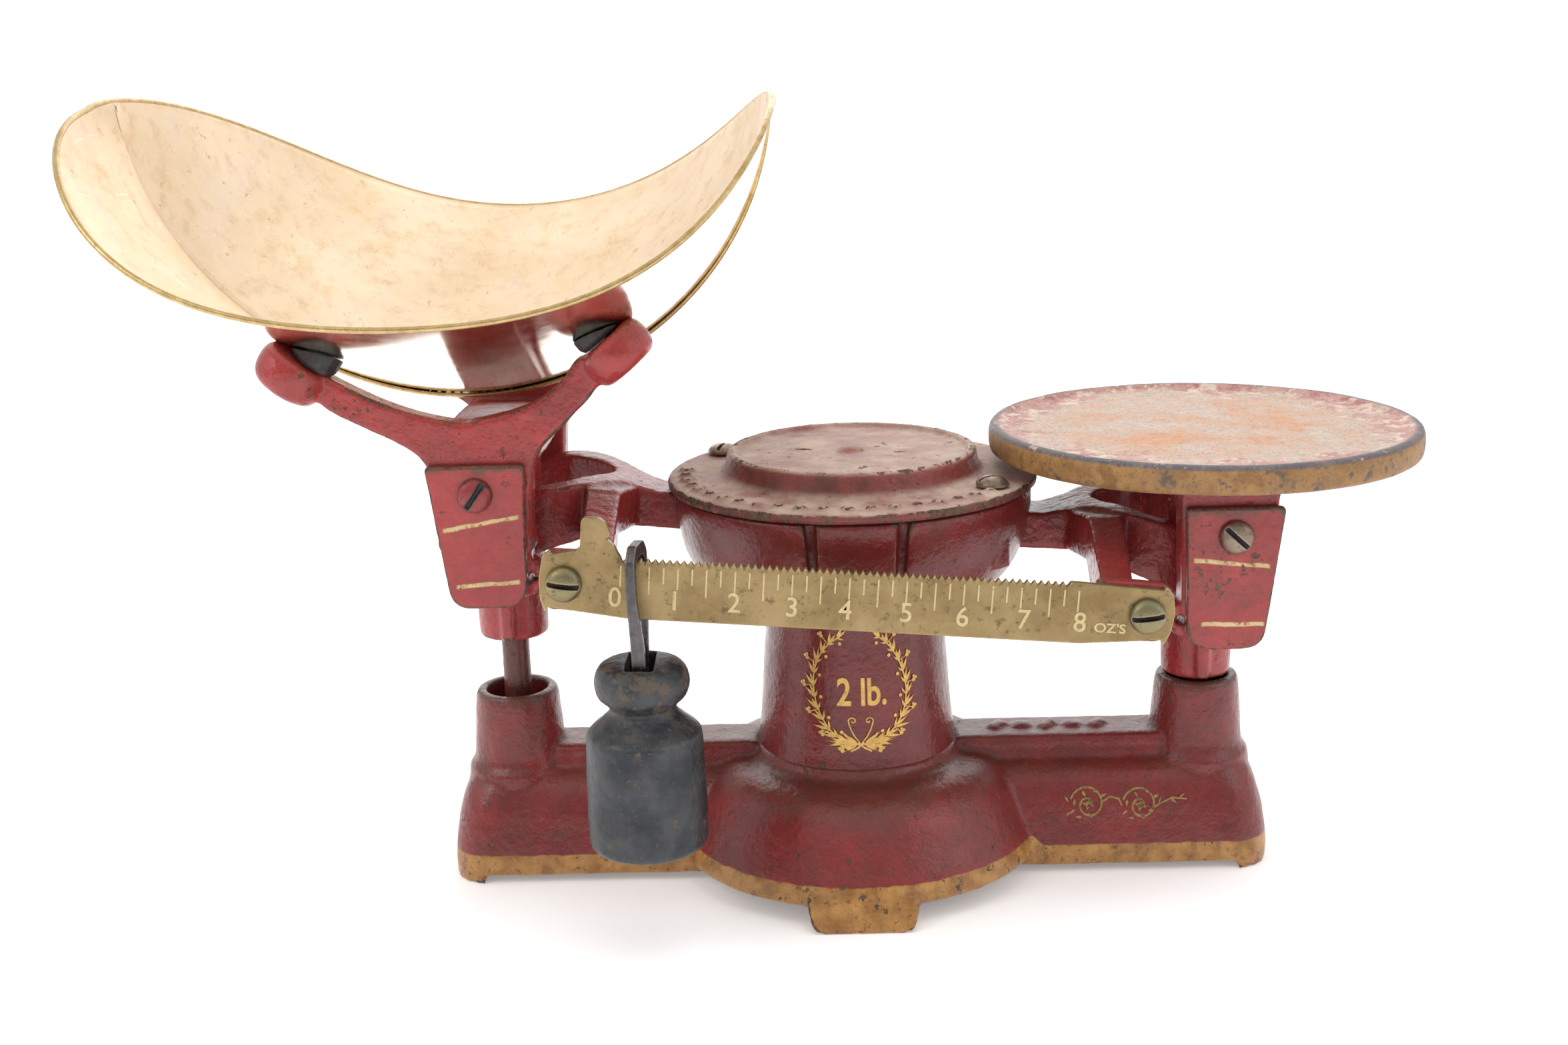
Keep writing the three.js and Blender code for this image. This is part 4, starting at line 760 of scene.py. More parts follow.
def make_base():
    ring = [(113.8, 20.5, 11, 2), (113.8, 20.4, 11, 5), (113.5, 19.8, 11, 9), (113.1, 19, 11, 12.5), (112.6, 18.2, 11, 16), (111.9, 17.4, 11, 19), (111.1, 16.4, 10.8, 22), (110, 15.2, 10.6, 24.8), (108.6, 13.7, 10, 27), (106.6, 11.6, 9, 28.7), (104, 9, 7.5, 29.5)]
    inner = [(110.3, 17, 8, -1), (109.6, 14.8, 8, 16), (106, 9.6, 6, 26)]
    arms = loft([slab(*r) for r in ring])
    bulge = lathe([(0, 5), (51.5, 5)] + catmull([(51.3, 8), (50.2, 11.5), (48.3, 15.5), (46, 20.5), (43.7, 24.8), (40.6, 28.6), (37, 30.6), (33, 31.4)], 4) + [(0, 31.4)])
    bulge_in = lathe([(0, -1), (47.8, -1), (44.4, 15.5), (39.6, 24.6), (36, 27.2), (32, 28), (0, 28)], 96)
    add = [arms, bulge]
    for s in (-1, 1):
        x0, x1 = sgn(s, 28.4, 84)
        add.append(loft([[(a, b * 1.25, 28.5) for a, b in [(x0, -8), (x1, -8), (x1, 8), (x0, 8)]], [(a, b, 31.5) for a, b in [(x0, -8.6), (x1, -8.6), (x1, 8.6), (x0, 8.6)]], [(a, b, 34.9) for a, b in [(x0, -8), (x1, -8), (x1, 8), (x0, 8)]], [(a, b, 35.7) for a, b in [(x0, -7), (x1, -7), (x1, 7), (x0, 7)]]]))
        if s > 0:
            for k in range(5):
                x = 39.5 + 7.0 * k
                if k % 2:
                    add.append(lathe([(0, 34.5), (2.6, 34.5), (2.6, 36.2), (1.9, 36.9), (0, 37.0)], 24, x))
                else:
                    add.append(prism([(x - 2.8, -0.9), (x - 0.8, -3.6), (x + 1.2, -1.2), (x + 2.9, 0.6), (x + 0.9, 3.6), (x - 1.1, 1.2)], 34.5, 36.9, "z"))
        # fillet where the column stands on the base
        add.append(lathe([(0, 30.6), (31.8, 30.6), (31.4, 31.5), (30.1, 31.9), (29.0, 32.8), (28.45, 34.6), (0, 34.6)]))
        add.append(lathe([(0, 25.6), (15, 25.6)] + catmull([(14.6, 29.2), (13.4, 30.8), (12.7, 33.5), (12.15, 42), (11.7, 47.6), (11.35, 50), (10.9, 50.8), (10.2, 51)], 3) + [(0, 51)], 96, s * ARM))
        add.append(prism(rounded([(-5, 30), (-4, 11), (4, 11), (5, 30)], [0, 3, 3, 0]), *sgn(s, 6.8, 10.6), "y"))
        for t in (-1, 1):
            arc = [(t * (102.8 + q * math.cos(a)), s * (9.5 + q * math.sin(a))) for q, ang in ((10.9, np.linspace(0.12, 1.42, 9)), (5.6, np.linspace(1.3, 0.2, 6))) for a in ang]
            add.append(prism(arc, 0, 5, "z"))
    sub1 = [loft([slab(*r) for r in inner]), bulge_in]
    o = raw("base", add)
    # the hollow is cut first, so that lugs and feet keep their own stock
    shell = remesh(raw("shell", [arms, bulge]), 0.8)
    boolean(shell, remesh(raw("hollow", sub1), 0.8))
    bpy.data.objects.remove(o)
    rest = raw("rest", add[2:])
    me = bpy.data.meshes.new("all")
    bm = bmesh.new()
    bm.from_mesh(shell.data)
    bm.from_mesh(rest.data)
    for s in (-1, 1):
        # foot tab in the middle of each side, leaning back to the bulge
        t = raw("tab", [prism(rounded([(-14.6, 8.8), (-15, 7.4), (-13.2, 0), (13.2, 0), (15, 7.4), (14.6, 8.8)], [0, 1.0, 3.2, 3.2, 1.0, 0]), *sgn(s, 46, 55), "y")])
        boolean(t, raw("k", [prism([(s * 46, -1), (s * 55, -1), (s * 54.6, 1.5), (s * 51.5, 7.6), (s * 50.7, 9.5), (s * 46, 9.5)], -20, 20, "x")]), "INTERSECT")
        bm.from_mesh(t.data)
        bpy.data.objects.remove(t)
    bm.to_mesh(me)
    bm.free()
    o = bpy.data.objects.new("base", me)
    bpy.context.scene.collection.objects.link(o)
    bpy.data.objects.remove(shell)
    bpy.data.objects.remove(rest)
    remesh(o, 0.65)
    cuts = [lathe([(0, 10), (8.5, 10), (8.5, 60), (0, 60)], 64, s * ARM) for s in (-1, 1)] + [cyl(2.3, -12, 12, (0, PIVOT_Z - 89.0)), cyl(2.4, 20, 33, (0, -16), "z"), cyl(2.4, 20, 33, (0, 16), "z")]
    boolean(o, remesh(raw("c", cuts), 0.5))
    remesh(o, 0.65)
    edge_smooth(o, 4)
    bumps(o, 9.0, 0.35)
    o.name = "base_body"
    return done(o, M_BASE, "base", ["base_casting"])


def make_column():
    low = [(28.1, 31.3), (27.8, 34.5), (27.2, 38), (26.2, 49), (25.3, 61), (24.5, 71), (25.0, 74.6), (27.8, 77), (33, 79.1), (38.2, 81.4), (42.2, 84.5), (44.9, 88.6), (46.9, 93.5), (48.1, 99), (48.8, 104), (48.9, 107.9)]
    outer = [(0, 31.3)] + catmull(low, 5) + [(0, 107.9)]
    inner = [(0, 37.5), (21, 37.5), (20.6, 72), (22, 79.5), (36, 84.6), (41.4, 90.5), (44.2, 98), (45, 112), (0, 112)]
    o = remesh(raw("column", [lathe(outer, 192)]), 0.6)
    grooves = []
    for sy in (-1, 1):
        for sx in (-1, 1):
            g = prism([(sx * 10.3, 109.5), (sx * 13.5, 109.5), (sx * 11.5, 83), (sx * 9.2, 82)], *sgn(sy, 35, 55), "y")
            gi = raw("g", [g])
            boolean(gi, raw("k", [lathe([(41.0, 80), (60, 80), (60, 110), (46.9, 110), (46.2, 100), (44.4, 92), (41.0, 80)], 96)]), "INTERSECT")
            grooves.append(gi)
    for g in grooves:
        boolean(o, remesh(g, 0.4))
    # flat tongue between the grooves, front and back
    parts = [lathe(inner, 96)] + [box(*sgn(s, 30, 60), -10.6, 10.6, 88, 112) for s in (-1, 1)] + [cyl(8, 30, 40, (0, 0), "z"), cyl(2.4, 30, 40, (0, -16), "z"), cyl(2.4, 30, 40, (0, 16), "z")]
    boolean(o, remesh(raw("c", parts), 0.6))
    extra = [box(-8.5, 8.5, *sgn(s, 20.4, 29), 79.5, PIVOT_Z - 4.6) for s in (-1, 1)] + [cyl(4.6, 90, 107.6, c, "z") for c in ((36, -24), (-36, 24))]
    me = bpy.data.meshes.new("all")
    bm = bmesh.new()
    bm.from_mesh(o.data)
    bm.from_mesh(raw("e", extra).data)
    bm.to_mesh(me)
    bm.free()
    bpy.data.objects.remove(bpy.data.objects["e"])
    o.data = me
    remesh(o, 0.6)
    edge_smooth(o, 3)
    bumps(o, 8.0, 0.25)
    o.name = "column_body"
    return done(o, M_COL, "base", ["column_casting"])


def make_cover():
    prof = [(0, 114.8), (30.6, 114.8), (30.6, 108.2)] + [(49.3, 108.2), (49.8, 108.4), (50.1, 108.9), (50.1, 110.1), (49.9, 110.5), (49.4, 110.75)] + catmull([(48.6, 110.9), (42, 111.0), (38, 111.15), (36, 111.6), (34.9, 112.5), (34.3, 113.8), (34.0, 115.4), (33.8, 116.6), (33.2, 117.35), (32.4, 117.6), (31.6, 117.3), (31.0, 116.6), (30.2, 116.35)], 4) + [(20, 116.45), (4.4, 116.6)] + catmull([(3.7, 116.8), (3.0, 117.2), (1.8, 117.5), (0.4, 117.6)], 3) + [(0, 117.6)]
    orn = []
    for k in range(20):
        a = math.radians(176 + 7.6 * k)
        c, sn = math.cos(a), math.sin(a)
        put = lambda u, v: ((45.2 + u) * c - v * sn, (45.2 + u) * sn + v * c)
        if k % 2:
            orn.append(prism([put(1.5 * math.cos(q), 1.5 * math.sin(q)) for q in np.linspace(0, 2 * math.pi, 16, endpoint=False)], 110, 111.9, "z"))
        else:
            orn.append(prism([put(-2.4, 0), put(0, -2.0), put(2.4, 0), put(0, 2.0)], 110, 111.9, "z"))
    o = raw("cover", [lathe(prof, 160)] + orn)
    remesh(o, 0.5)
    slits = [prism([(-15.8, 2.2), (-14.6, 3.4), (-10.2, 2.0), (-10.6, 1.2)], 115.3, 119, "z"), prism([(11.6, -4.4), (11.2, -3.5), (15.0, -2.6), (15.4, -3.3)], 115.3, 119, "z")]
    boolean(o, raw("c", [cyl(2.3, 107, 113, c, "z") for c in ((36, -24), (-36, 24))] + slits))
    remesh(o, 0.42)
    edge_smooth(o, 2)
    bumps(o, 7.0, 0.22)
    o.name = "cover"
    return done(o, M_CAP, "base", ["top_cover"])


def screw(name, c, out, r, t, shank, length, angle, material, body, node):
    """Slotted screw: domed head with a worn slot, out is the way it faces."""
    prof = [(0, -length), (shank, -length), (shank, 0.0), (r * 0.96, 0.0), (r, t * 0.1), (r * 0.985, t * 0.32)] + catmull([(r * 0.93, t * 0.5), (r * 0.8, t * 0.72), (r * 0.55, t * 0.9), (r * 0.25, t * 0.985)], 3) + [(0, t)]
    z = Vector(out).normalized()
    ref = Vector((1, 0, 0)) if abs(z.x) < 0.9 else Vector((0, 0, 1))
    x = (ref - z * ref.dot(z)).normalized()
    y = z.cross(x)
    M = Matrix((x, y, z)).transposed()
    o = raw(name, [lathe(prof, 48)])
    c0, s0 = math.cos(angle), math.sin(angle)
    w, h = r * 0.13, r * 1.3
    cut = prism([(h * c0 + w * s0, h * s0 - w * c0), (h * c0 - w * s0, h * s0 + w * c0), (-h * c0 - w * s0, -h * s0 + w * c0), (-h * c0 + w * s0, -h * s0 - w * c0)], t * 0.5, t * 1.6, "z")
    boolean(o, raw("c", [cut]))
    remesh(o, 0.17 if r > 3 else 0.14)
    edge_smooth(o, 3)
    # painted shade in the slot: its bottom darkened almost to black, in place of the recess's shadow
    n = len(o.data.vertices)
    v = np.empty(n * 3)
    o.data.vertices.foreach_get("co", v)
    v = v.reshape(-1, 3)
    off = np.abs(-v[:, 0] * s0 + v[:, 1] * c0)
    rad = np.hypot(v[:, 0], v[:, 1])
    face = np.interp(rad / r, [0, 0.25, 0.55, 0.8, 0.93, 1.0], [t, t * 0.985, t * 0.9, t * 0.72, t * 0.5, t * 0.2])
    g = np.clip((face - v[:, 2]) / 0.35, 0, 1) * (off < w * 1.25) * (v[:, 2] > t * 0.3)
    o.data.attributes.new("slot_shade", "FLOAT", "POINT").data.foreach_set("value", g.astype(np.float32))
    M4 = M.to_4x4()
    M4.translation = Vector(c)
    o.data.transform(M4)
    return done(o, material, body, [node])


# ------------------------------------------------------------------ beam
def make_beam():
    def side(sx):
        prof = [(0, 0.5), (52, 0.5)] + catmull([(58, 2.4), (63, 4.1), (70, 4.8), (77, 4.2), (84, 3), (90, 1), (96, -1.2), (101.5, -4)], 4) + [(102.5, -8), (101, -13), (96, -17.5), (91, -19), (88, -18)] + catmull([(85, -15.4), (79, -12.6), (71, -10.3), (63, -8.4), (57, -9.2), (45, -9.6)], 4) + [(0, -9.6)]
        plan = [(0, -8), (54, -8)] + catmull([(58, -9), (62, -11), (68, -17), (74, -22), (80, -24)], 4) + [(104, -24), (104, -17.5), (85, -17.5)] + catmull([(81, -16.8), (78, -15.5), (72, -10.5), (67, -5), (65.3, 0), (67, 5), (72, 10.5), (78, 15.5), (81, 16.8)], 4) + [(85, 17.5), (104, 17.5), (104, 24)] + catmull([(80, 24), (74, 22), (68, 17), (62, 11), (58, 9)], 4) + [(54, 8), (0, 8)]
        o = raw("side", [prism([(sx * x, z) for x, z in prof], -30, 30, "y")])
        boolean(o, raw("plan", [prism([(sx * x, y) for x, y in plan], -25, 12, "z")]), "INTERSECT")
        return o
    parts = [box(-9.5, 9.5, -19, 19, -9.6, 10.4)]
    for s in (-1, 1):
        near = [(61.5, -21.5, -8), (70.5, -21.5, -9.5), (70.5, -21.5, 4.2), (61.5, -21.5, 3.8)]
        far = [(60, -57.6, -17.6), (68, -57.6, -17.6), (68, -57.6, -4.2), (60, -57.6, -4.2)]
        rt = [(58, -9, -8.6), (72, -16, -9.8), (72, -16, 4.2), (58, -9, 2.4)]
        rt2 = [(61.5, -22.5, -8), (70.5, -22.5, -9.5), (70.5, -22.5, 4.2), (61.5, -22.5, 3.8)]
        parts.append(hexa([(s * x, y, z) for x, y, z in near], [(s * x, y, z) for x, y, z in far]))
        parts.append(hexa([(s * x, y, z) for x, y, z in rt], [(s * x, y, z) for x, y, z in rt2]))
        parts.append(prism(rounded([(s * 58.6, -2.9), (s * 76, -2.9), (s * 77, -10.5), (s * 76, -18.2), (s * 58.6, -18.2)], [2, 2, 4, 2, 2]), BAR_Y + BAR_T + GAP, -55, "y"))
    a, b, c = side(-1), side(1), raw("rest", parts)
    bm = bmesh.new()
    for q in (a, b, c):
        bm.from_mesh(q.data)
    me = bpy.data.meshes.new("beam")
    bm.to_mesh(me)
    bm.free()
    for q in (a, b, c):
        bpy.data.objects.remove(q)
    o = bpy.data.objects.new("beam_body", me)
    bpy.context.scene.collection.objects.link(o)
    remesh(o, 0.6)
    cuts = [prism([(0, -0.6), (4.4, 4.9), (4.4, 8.6), (-4.4, 8.6), (-4.4, 4.9)], -25, 25, "y")]
    for s in (-1, 1):
        k = [(0, 0.7), (4.4, -4.8), (4.4, -8.1), (-4.4, -8.1), (-4.4, -4.8)]
        cuts += [prism([(s * ARM + x, z) for x, z in k], -30, -10, "y"), prism([(s * ARM + x, z) for x, z in k], 10, 30, "y"), cyl(2.1, -60, -50, (s * 71.2, -10.6))]
    boolean(o, raw("c", cuts))
    remesh(o, 0.55)
    edge_smooth(o, 6)
    bumps(o, 3.5, 0.35)
    o.data.transform(Matrix.Translation((0, 0, PIVOT_Z)) @ Matrix.Rotation(TILT, 4, "Y"))
    return done(o, M_BEAM, "beam", ["beam_casting"])


def make_bar():
    pitch = OZ / 8
    first, teeth = ZERO_X + 0.4, 62
    top = []
    for i in range(teeth + 1):
        top.append((first + i * pitch - 0.12, -4.5))
        top.append((first + i * pitch + 0.12, -4.5))
        if i < teeth:
            top += [(first + (i + 0.42) * pitch, -3.45), (first + (i + 0.58) * pitch, -3.45)]
    bar = rounded([(-75.4, -19.2), (-77.0, -14.6), (-77.4, -9.5), (-76.7, -3.8), (-74.6, -2.2)], [0.9, 1.6, 1.6, 1.6, 1.6], 4) + [(-68.6, -2.2), (-67.8, -1.4)] + rounded([(-67.6, -1.0), (-67.5, 6.3), (-62.2, 6.4), (-59.9, 1.8)], [0, 1.6, 3.2, 1.4], 6) + [(-59.2, -0.4), (-58.5, -1.8), (-57.8, -2.9), (-57.45, -3.5)] + top + [(first + teeth * pitch + 1, -3.2)] + rounded([(74.8, -2.4), (77.2, -5), (78, -9.6), (77.4, -14.6), (75.4, -19.2)], 1.6, 4) + [(55, -18.7), (-55, -18.7)]
    o = crisp("bar", [prism(bar, BAR_Y, BAR_Y + BAR_T, "y")], 0)
    for s in (-1, 1):
        boolean(o, raw("c", [cyl(2.1, -70, -50, (s * 71.2, -10.6))]))
    remesh(o, 0.24)
    edge_smooth(o, 2)
    o.data.transform(Matrix.Translation((0, 0, PIVOT_Z)) @ Matrix.Rotation(TILT, 4, "Y"))
    done(o, M_BAR, "beam", ["graduated_bar"])
    # scale: ounces and eighths, stamped lines with pale filling
    marks = []
    y0, y1 = BAR_Y - 0.10, BAR_Y + 0.3
    for i in range(0, 65, 2):
        x = ZERO_X + i * pitch
        if x > 54.6:
            break
        z0 = -10.6 if i % 8 == 0 else (-12.2 if i % 4 == 0 else -9.3)
        marks.append(box(x - 0.2, x + 0.2, y0, y1, z0, -5.2))
    t = raw("scale_lines", marks)
    t.data.transform(Matrix.Translation((0, 0, PIVOT_Z)) @ Matrix.Rotation(TILT, 4, "Y"))
    done(t, M_MARK, "beam", smooth=False)
    nudge = [-1.2, -0.6, 0.0, 0.2, -0.7, 0.2, 0.0, 1.0, 0.8]
    figs = [(str(k), ZERO_X + k * OZ + nudge[k], -15.6 + 0.15 * math.sin(4.0 * k), 7.0) for k in range(9)] + [("OZ'S", 62.4, -15.4, 3.3)]
    pieces = []
    for txt, x, z, size in figs:
        pieces.append(text_piece(txt, size, x, z, bold=0.07, xs=1.12 if size < 4 else 0.95))
    me = bpy.data.meshes.new("figures")
    bm = bmesh.new()
    for q in pieces:
        bm.from_mesh(q.data)
        bpy.data.objects.remove(q)
    bm.to_mesh(me)
    bm.free()
    f = bpy.data.objects.new("scale_figures", me)
    bpy.context.scene.collection.objects.link(f)
    f.data.transform(Matrix.Translation((0, 0, PIVOT_Z)) @ Matrix.Rotation(TILT, 4, "Y"))
    done(f, M_MARK, "beam", smooth=False)


def text_piece(txt, size, x, z, depth=0.14, y=None, xs=1.0, bold=0.0):
    c = bpy.data.curves.new("t", "FONT")
    c.body = txt
    c.offset = bold
    c.size = size
    c.extrude = depth
    c.align_x = "CENTER"
    c.resolution_u = 6
    o = bpy.data.objects.new("t", c)
    bpy.context.scene.collection.objects.link(o)
    dg = bpy.context.evaluated_depsgraph_get()
    dg.update()
    me = bpy.data.meshes.new_from_object(o.evaluated_get(dg))
    bpy.data.objects.remove(o)
    q = bpy.data.objects.new("t", me)
    bpy.context.scene.collection.objects.link(q)
    me.transform(Matrix.Translation((x, BAR_Y if y is None else y, z)) @ Matrix.Rotation(math.pi / 2, 4, "X") @ Matrix.Diagonal((xs, 1, 1, 1)))
    return q


# ------------------------------------------------------------------ hangers
SPIDER = [(-104.5, 100), (-106.5, 106), (-107.3, 115), (-107.6, 121.4), (-109.9, 125.6), (-113.9, 128.5), (-117.6, 130.6), (-124, 133.8), (-131.5, 138.0), (-136, 142), (-139, 146), (-134, 149), (-130.8, 146.2), (-121.8, 141.3), (-113.2, 137.6), (-105, 135.2), (-99.7, 134.2), (-96.6, 134.2), (-86.8, 136.2), (-80.2, 138.6), (-75.3, 141.7), (-71.6, 145.4), (-68.5, 149.4), (-63.5, 149), (-63.6, 142.6), (-73.4, 132.2), (-78.8, 127), (-81.0, 121.8), (-81.8, 115), (-82.4, 106), (-83.5, 100)]


def cheek_outline(side, grow=0.0):
    top = 15.5 if side == "left" else 19.5
    return rounded([(-12.9, top), (12.9, top), (8.4, -23.6), (-11.6, -23.6)], [1.5, 1.5, 6, 7])


def make_hanger(side):
    sx = -1 if side == "left" else 1
    kx, kz = KL if side == "left" else KR
    put = lambda pts: [(kx + sx * x, kz + z) for x, z in pts]
    add, sub = [], []
    for sy in (-1, 1):
        add.append(prism(put(cheek_outline(side)), *sgn(sy, CHEEK_IN, CHEEK_OUT), "y"))
        add.append(prism(put(rounded([(-15, -13.6), (-9, -12), (-9, -23), (-14, -21.6)], [3, 0, 0, 3])), *sgn(sy, 32, 37), "y"))
        if side == "left":
            add.append(prism(catmull(SPIDER, 3, True), *sgn(sy, CHEEK_IN + 1.6, CHEEK_OUT), "y"))
            for _, px, pz, tilt, off in PADS:
                add.append(lathe([(0, -5), (6.4, -5)] + catmull([(7.8, -4.4), (8.8, -2.8), (9.3, 0), (9.0, 2.8), (8.2, 4.3), (7.0, 4.9)], 3) + [(0, 4.9)], 64, px, sy * PAD_Y, pz, Matrix.Rotation(tilt, 3, "Y")))
                sub.append(lathe([(0, 5.1), (7.6, 5.1), (7.6, 22), (0, 22)], 48, px + 1.6 * math.copysign(1, off) * 0, sy * PAD_Y, pz, Matrix.Rotation(tilt, 3, "Y")))
        sub += [prism(put([(-6.4, 10.4), (6.4, 10.4), (6.4, -9), (-6.4, -9)]), *sgn(sy, CHEEK_IN + 1.6, CHEEK_OUT + 1), "y"), prism(put([(-5.4, 3.2), (5.4, 3.2), (5.4, -9), (-5.4, -9)]), *sgn(sy, CHEEK_IN - 1, CHEEK_IN + 2), "y"), cyl(1.3, *sgn(sy, CHEEK_IN, CHEEK_OUT + 1), (kx - sx * 12.0, kz - 17.6), "y", 24)]
    if side == "left":
        add.append(prism([(y, kz + z) for y, z in catmull([(-33, 8), (-20, 7), (0, 7), (20, 7), (33, 8)], 3) + catmull([(33, 15.5), (26, 16.6), (14, 18.4), (0, 19), (-14, 18.4), (-26, 16.6), (-33, 15.5)], 3)], kx - 11.5, kx + 11.5, "x"))
    else:
        add.append(prism([(-33, kz + 9), (33, kz + 9), (33, kz + 19.5), (-33, kz + 19.5)], kx - 11.5, kx + 11.5, "x"))
        add.append(box(kx - 11.5, kx + 11.5, -14.5, 14.5, kz - 9, kz + 10))
        sub.append(cyl(2.3, kz + 8, kz + 25, (kx, 0), "z", 32))
    add.append(lathe([(0, kz - STEM_DROP), (8.9, kz - STEM_DROP), (9.5, kz - STEM_DROP + 0.6), (9.65, kz - STEM_DROP + 8), (10.1, kz + 9), (0, kz + 9)], 80, kx))
    add.append(prism(rounded([(kx - 1.9, -11.0), (kx + 1.9, -11.0), (kx + 1.9, -7), (kx - 1.9, -7)], [1.0, 1.0, 0, 0]), kz - STEM_DROP + 0.6, kz + 9, "z"))
    sub.append(cyl(6.8 if side == "left" else 4.3, kz - STEM_DROP - 5, kz - (1 if side == "left" else 28), (kx, 0), "z", 48))
    o = raw(side + "_hanger_body", add)
    remesh(o, 0.6)
    boolean(o, remesh(raw("c", sub), 0.5))
    remesh(o, 0.55)
    edge_smooth(o, 4)
    bumps(o, 6.0, 0.28)
    done(o, M_HANG, side + "_hanger", [side + "_hanger_casting"])
    for n, sy in (("front", -1), ("back", 1)):
        pts = put(rounded([(-11.8, 12.8), (13.4, 12.8), (8.6, -24.6), (-10.8, -24.6)], [1.4, 1.4, 6, 7], 8))
        y0, y1 = sgn(sy, CHEEK_OUT + GAP, CHEEK_OUT + GAP + COVER_T)
        c = crisp(side + "_cover_" + n, [prism(pts, y0, y1, "y")], 0)
        boolean(c, raw("c", [cyl(2.2, *sgn(sy, CHEEK_OUT - 1, CHEEK_OUT + 5), (kx + sx * 0.8, kz + 5.3), "y", 32)]))
        remesh(c, 0.35)
        edge_smooth(c, 3)
        bumps(c, 8.0, 0.2)
        done(c, M_SHL if side == "left" else M_SHR, side + "_hanger", [side + "_bearing_cover_" + n])
        ang = 0.95 if side == "left" else -0.75
        screw(side + "_screw_" + n, (kx + sx * 0.8, sy * (CHEEK_OUT + 2 * GAP + COVER_T), kz + 5.3), (0, sy, 0), 4.4, 2.5, 1.75, 4.4, ang * sy * -1, M_SCREW if side == "right" else M_HSCREW, side + "_hanger", side + "_cover_screw_" + n)
    # stay rod, with its flattened, pierced foot
    heel = kz - 89.0
    top = kz - 1.3 if side == "left" else kz - 28.6
    r = raw(side + "_rod", [lathe([(0, heel + 7), (3.5, heel + 7), (3.85, heel + 7.4), (3.9, heel + 20), (3.8, kz - STEM_DROP - 4), (3.9, kz - STEM_DROP + 4), (3.7, top - 0.4), (0, top)], 48, kx), prism(rounded([(kx - 3.4, heel - 4), (kx + 3.4, heel - 4), (kx + 3.4, heel + 9), (kx - 3.4, heel + 9)], [3, 3, 1, 1]), -1.7, 1.7, "y")])
    remesh(r, 0.35)
    boolean(r, raw("c", [cyl(1.8, -5, 5, (kx, heel), "y", 32)]))
    remesh(r, 0.3)
    edge_smooth(r, 2)
    done(r, M_RODP, side + "_hanger", [side + "_stay_rod"])


# ------------------------------------------------------------------ scoop
SC = dict(n2=10.781, n3=-21.729, n4=-11.904, an=0.205, af=0.504, A=85.788, p=0.985, Bf=122.597, Bn=60.264, qf=1.345, qn=0.697, c1=21.011, c2=-66.276, c3=-6.498, c4=14.471, U=84.124, Ds=77.92, sp=1.026, sq=1.054, vs=14.032, vk=0.139, x0=-104.048, y0=-23.742, z0=211.36, yaw=-0.027, tp=0.018, tr=-0.012, cup=0.486)


def posed(u, v, w):
    s = SC
    v, w = v * math.cos(s["tp"]) - w * math.sin(s["tp"]), v * math.sin(s["tp"]) + w * math.cos(s["tp"])
    u, w = u * math.cos(s["tr"]) - w * math.sin(s["tr"]), u * math.sin(s["tr"]) + w * math.cos(s["tr"])
    return np.array([u * math.cos(s["yaw"]) - v * math.sin(s["yaw"]) + s["x0"], u * math.sin(s["yaw"]) + v * math.cos(s["yaw"]) + s["y0"], w + s["z0"]])


def rim_at(th):
    s, si, c = SC, math.sin(th), math.cos(th)
    ac = abs(c)
    u = s["A"] * math.copysign(1, si) * abs(si) ** s["p"]
    v = s["Bf"] * ac ** s["qf"] * (1 + s["af"] * si * si) if c > 0 else -s["Bn"] * ac ** s["qn"] * (1 + s["an"] * si * si)
    w = s["c1"] * c + s["c2"] * c ** 2 + s["c3"] * c ** 3 + s["c4"] * c ** 4
    if c < 0:
        w += s["n2"] * c ** 2 + s["n3"] * c ** 3 + s["n4"] * c ** 4
    return posed(u, v, w)


def seam_at(ph):
    s, c, n = SC, math.cos(ph), abs(math.sin(ph))
    w = -s["Ds"] * n ** s["sq"] + s["cup"]
    return posed(s["U"] * math.copysign(1, c) * abs(c) ** s["sp"], s["vs"] - s["vk"] * w, w)


TIP = math.radians(81.5)


def sheet(side, n=200, m=28):
    rows = []
    for i in range(n + 1):
        t = 0.0008 + 0.9984 * i / n
        ph = math.pi * t
        th = TIP * (1 - 2 * t) if side > 0 else TIP + (2 * math.pi - 2 * TIP) * t
        a, b = seam_at(ph), rim_at(th)
        rows.append([a + (b - a) * k / m for k in range(m + 1)])
    return np.array(rows)


def skin(rows, thick):
    """Both faces of a sheet: the inside first, the outside second, joined round the edge. Returns points, faces and which faces are outside."""
    n, m = rows.shape[:2]
    du = np.gradient(rows, axis=0)
    dv = np.gradient(rows, axis=1)
    nn = np.cross(du, dv)
    nn /= np.linalg.norm(nn, axis=2)[:, :, None]
    if nn[n // 2, m // 2, 2] < 0:
        nn = -nn
    v = np.concatenate([(rows + nn * thick).reshape(-1, 3), rows.reshape(-1, 3)])
    N = n * m
    f, tag = [], []
    for i in range(n - 1):
        for k in range(m - 1):
            a, b, c, d = i * m + k, i * m + k + 1, (i + 1) * m + k + 1, (i + 1) * m + k
            f.append((a, b, c, d))
            tag.append(0)
            f.append((N + d, N + c, N + b, N + a))
            tag.append(1)
    ring = [i * m for i in range(n)] + [(n - 1) * m + k for k in range(1, m)] + [i * m + m - 1 for i in range(n - 2, -1, -1)] + [k for k in range(m - 2, 0, -1)]
    for a, b in zip(ring, ring[1:] + ring[:1]):
        f.append((a, b, N + b, N + a))
        tag.append(1)
    return v, f, tag


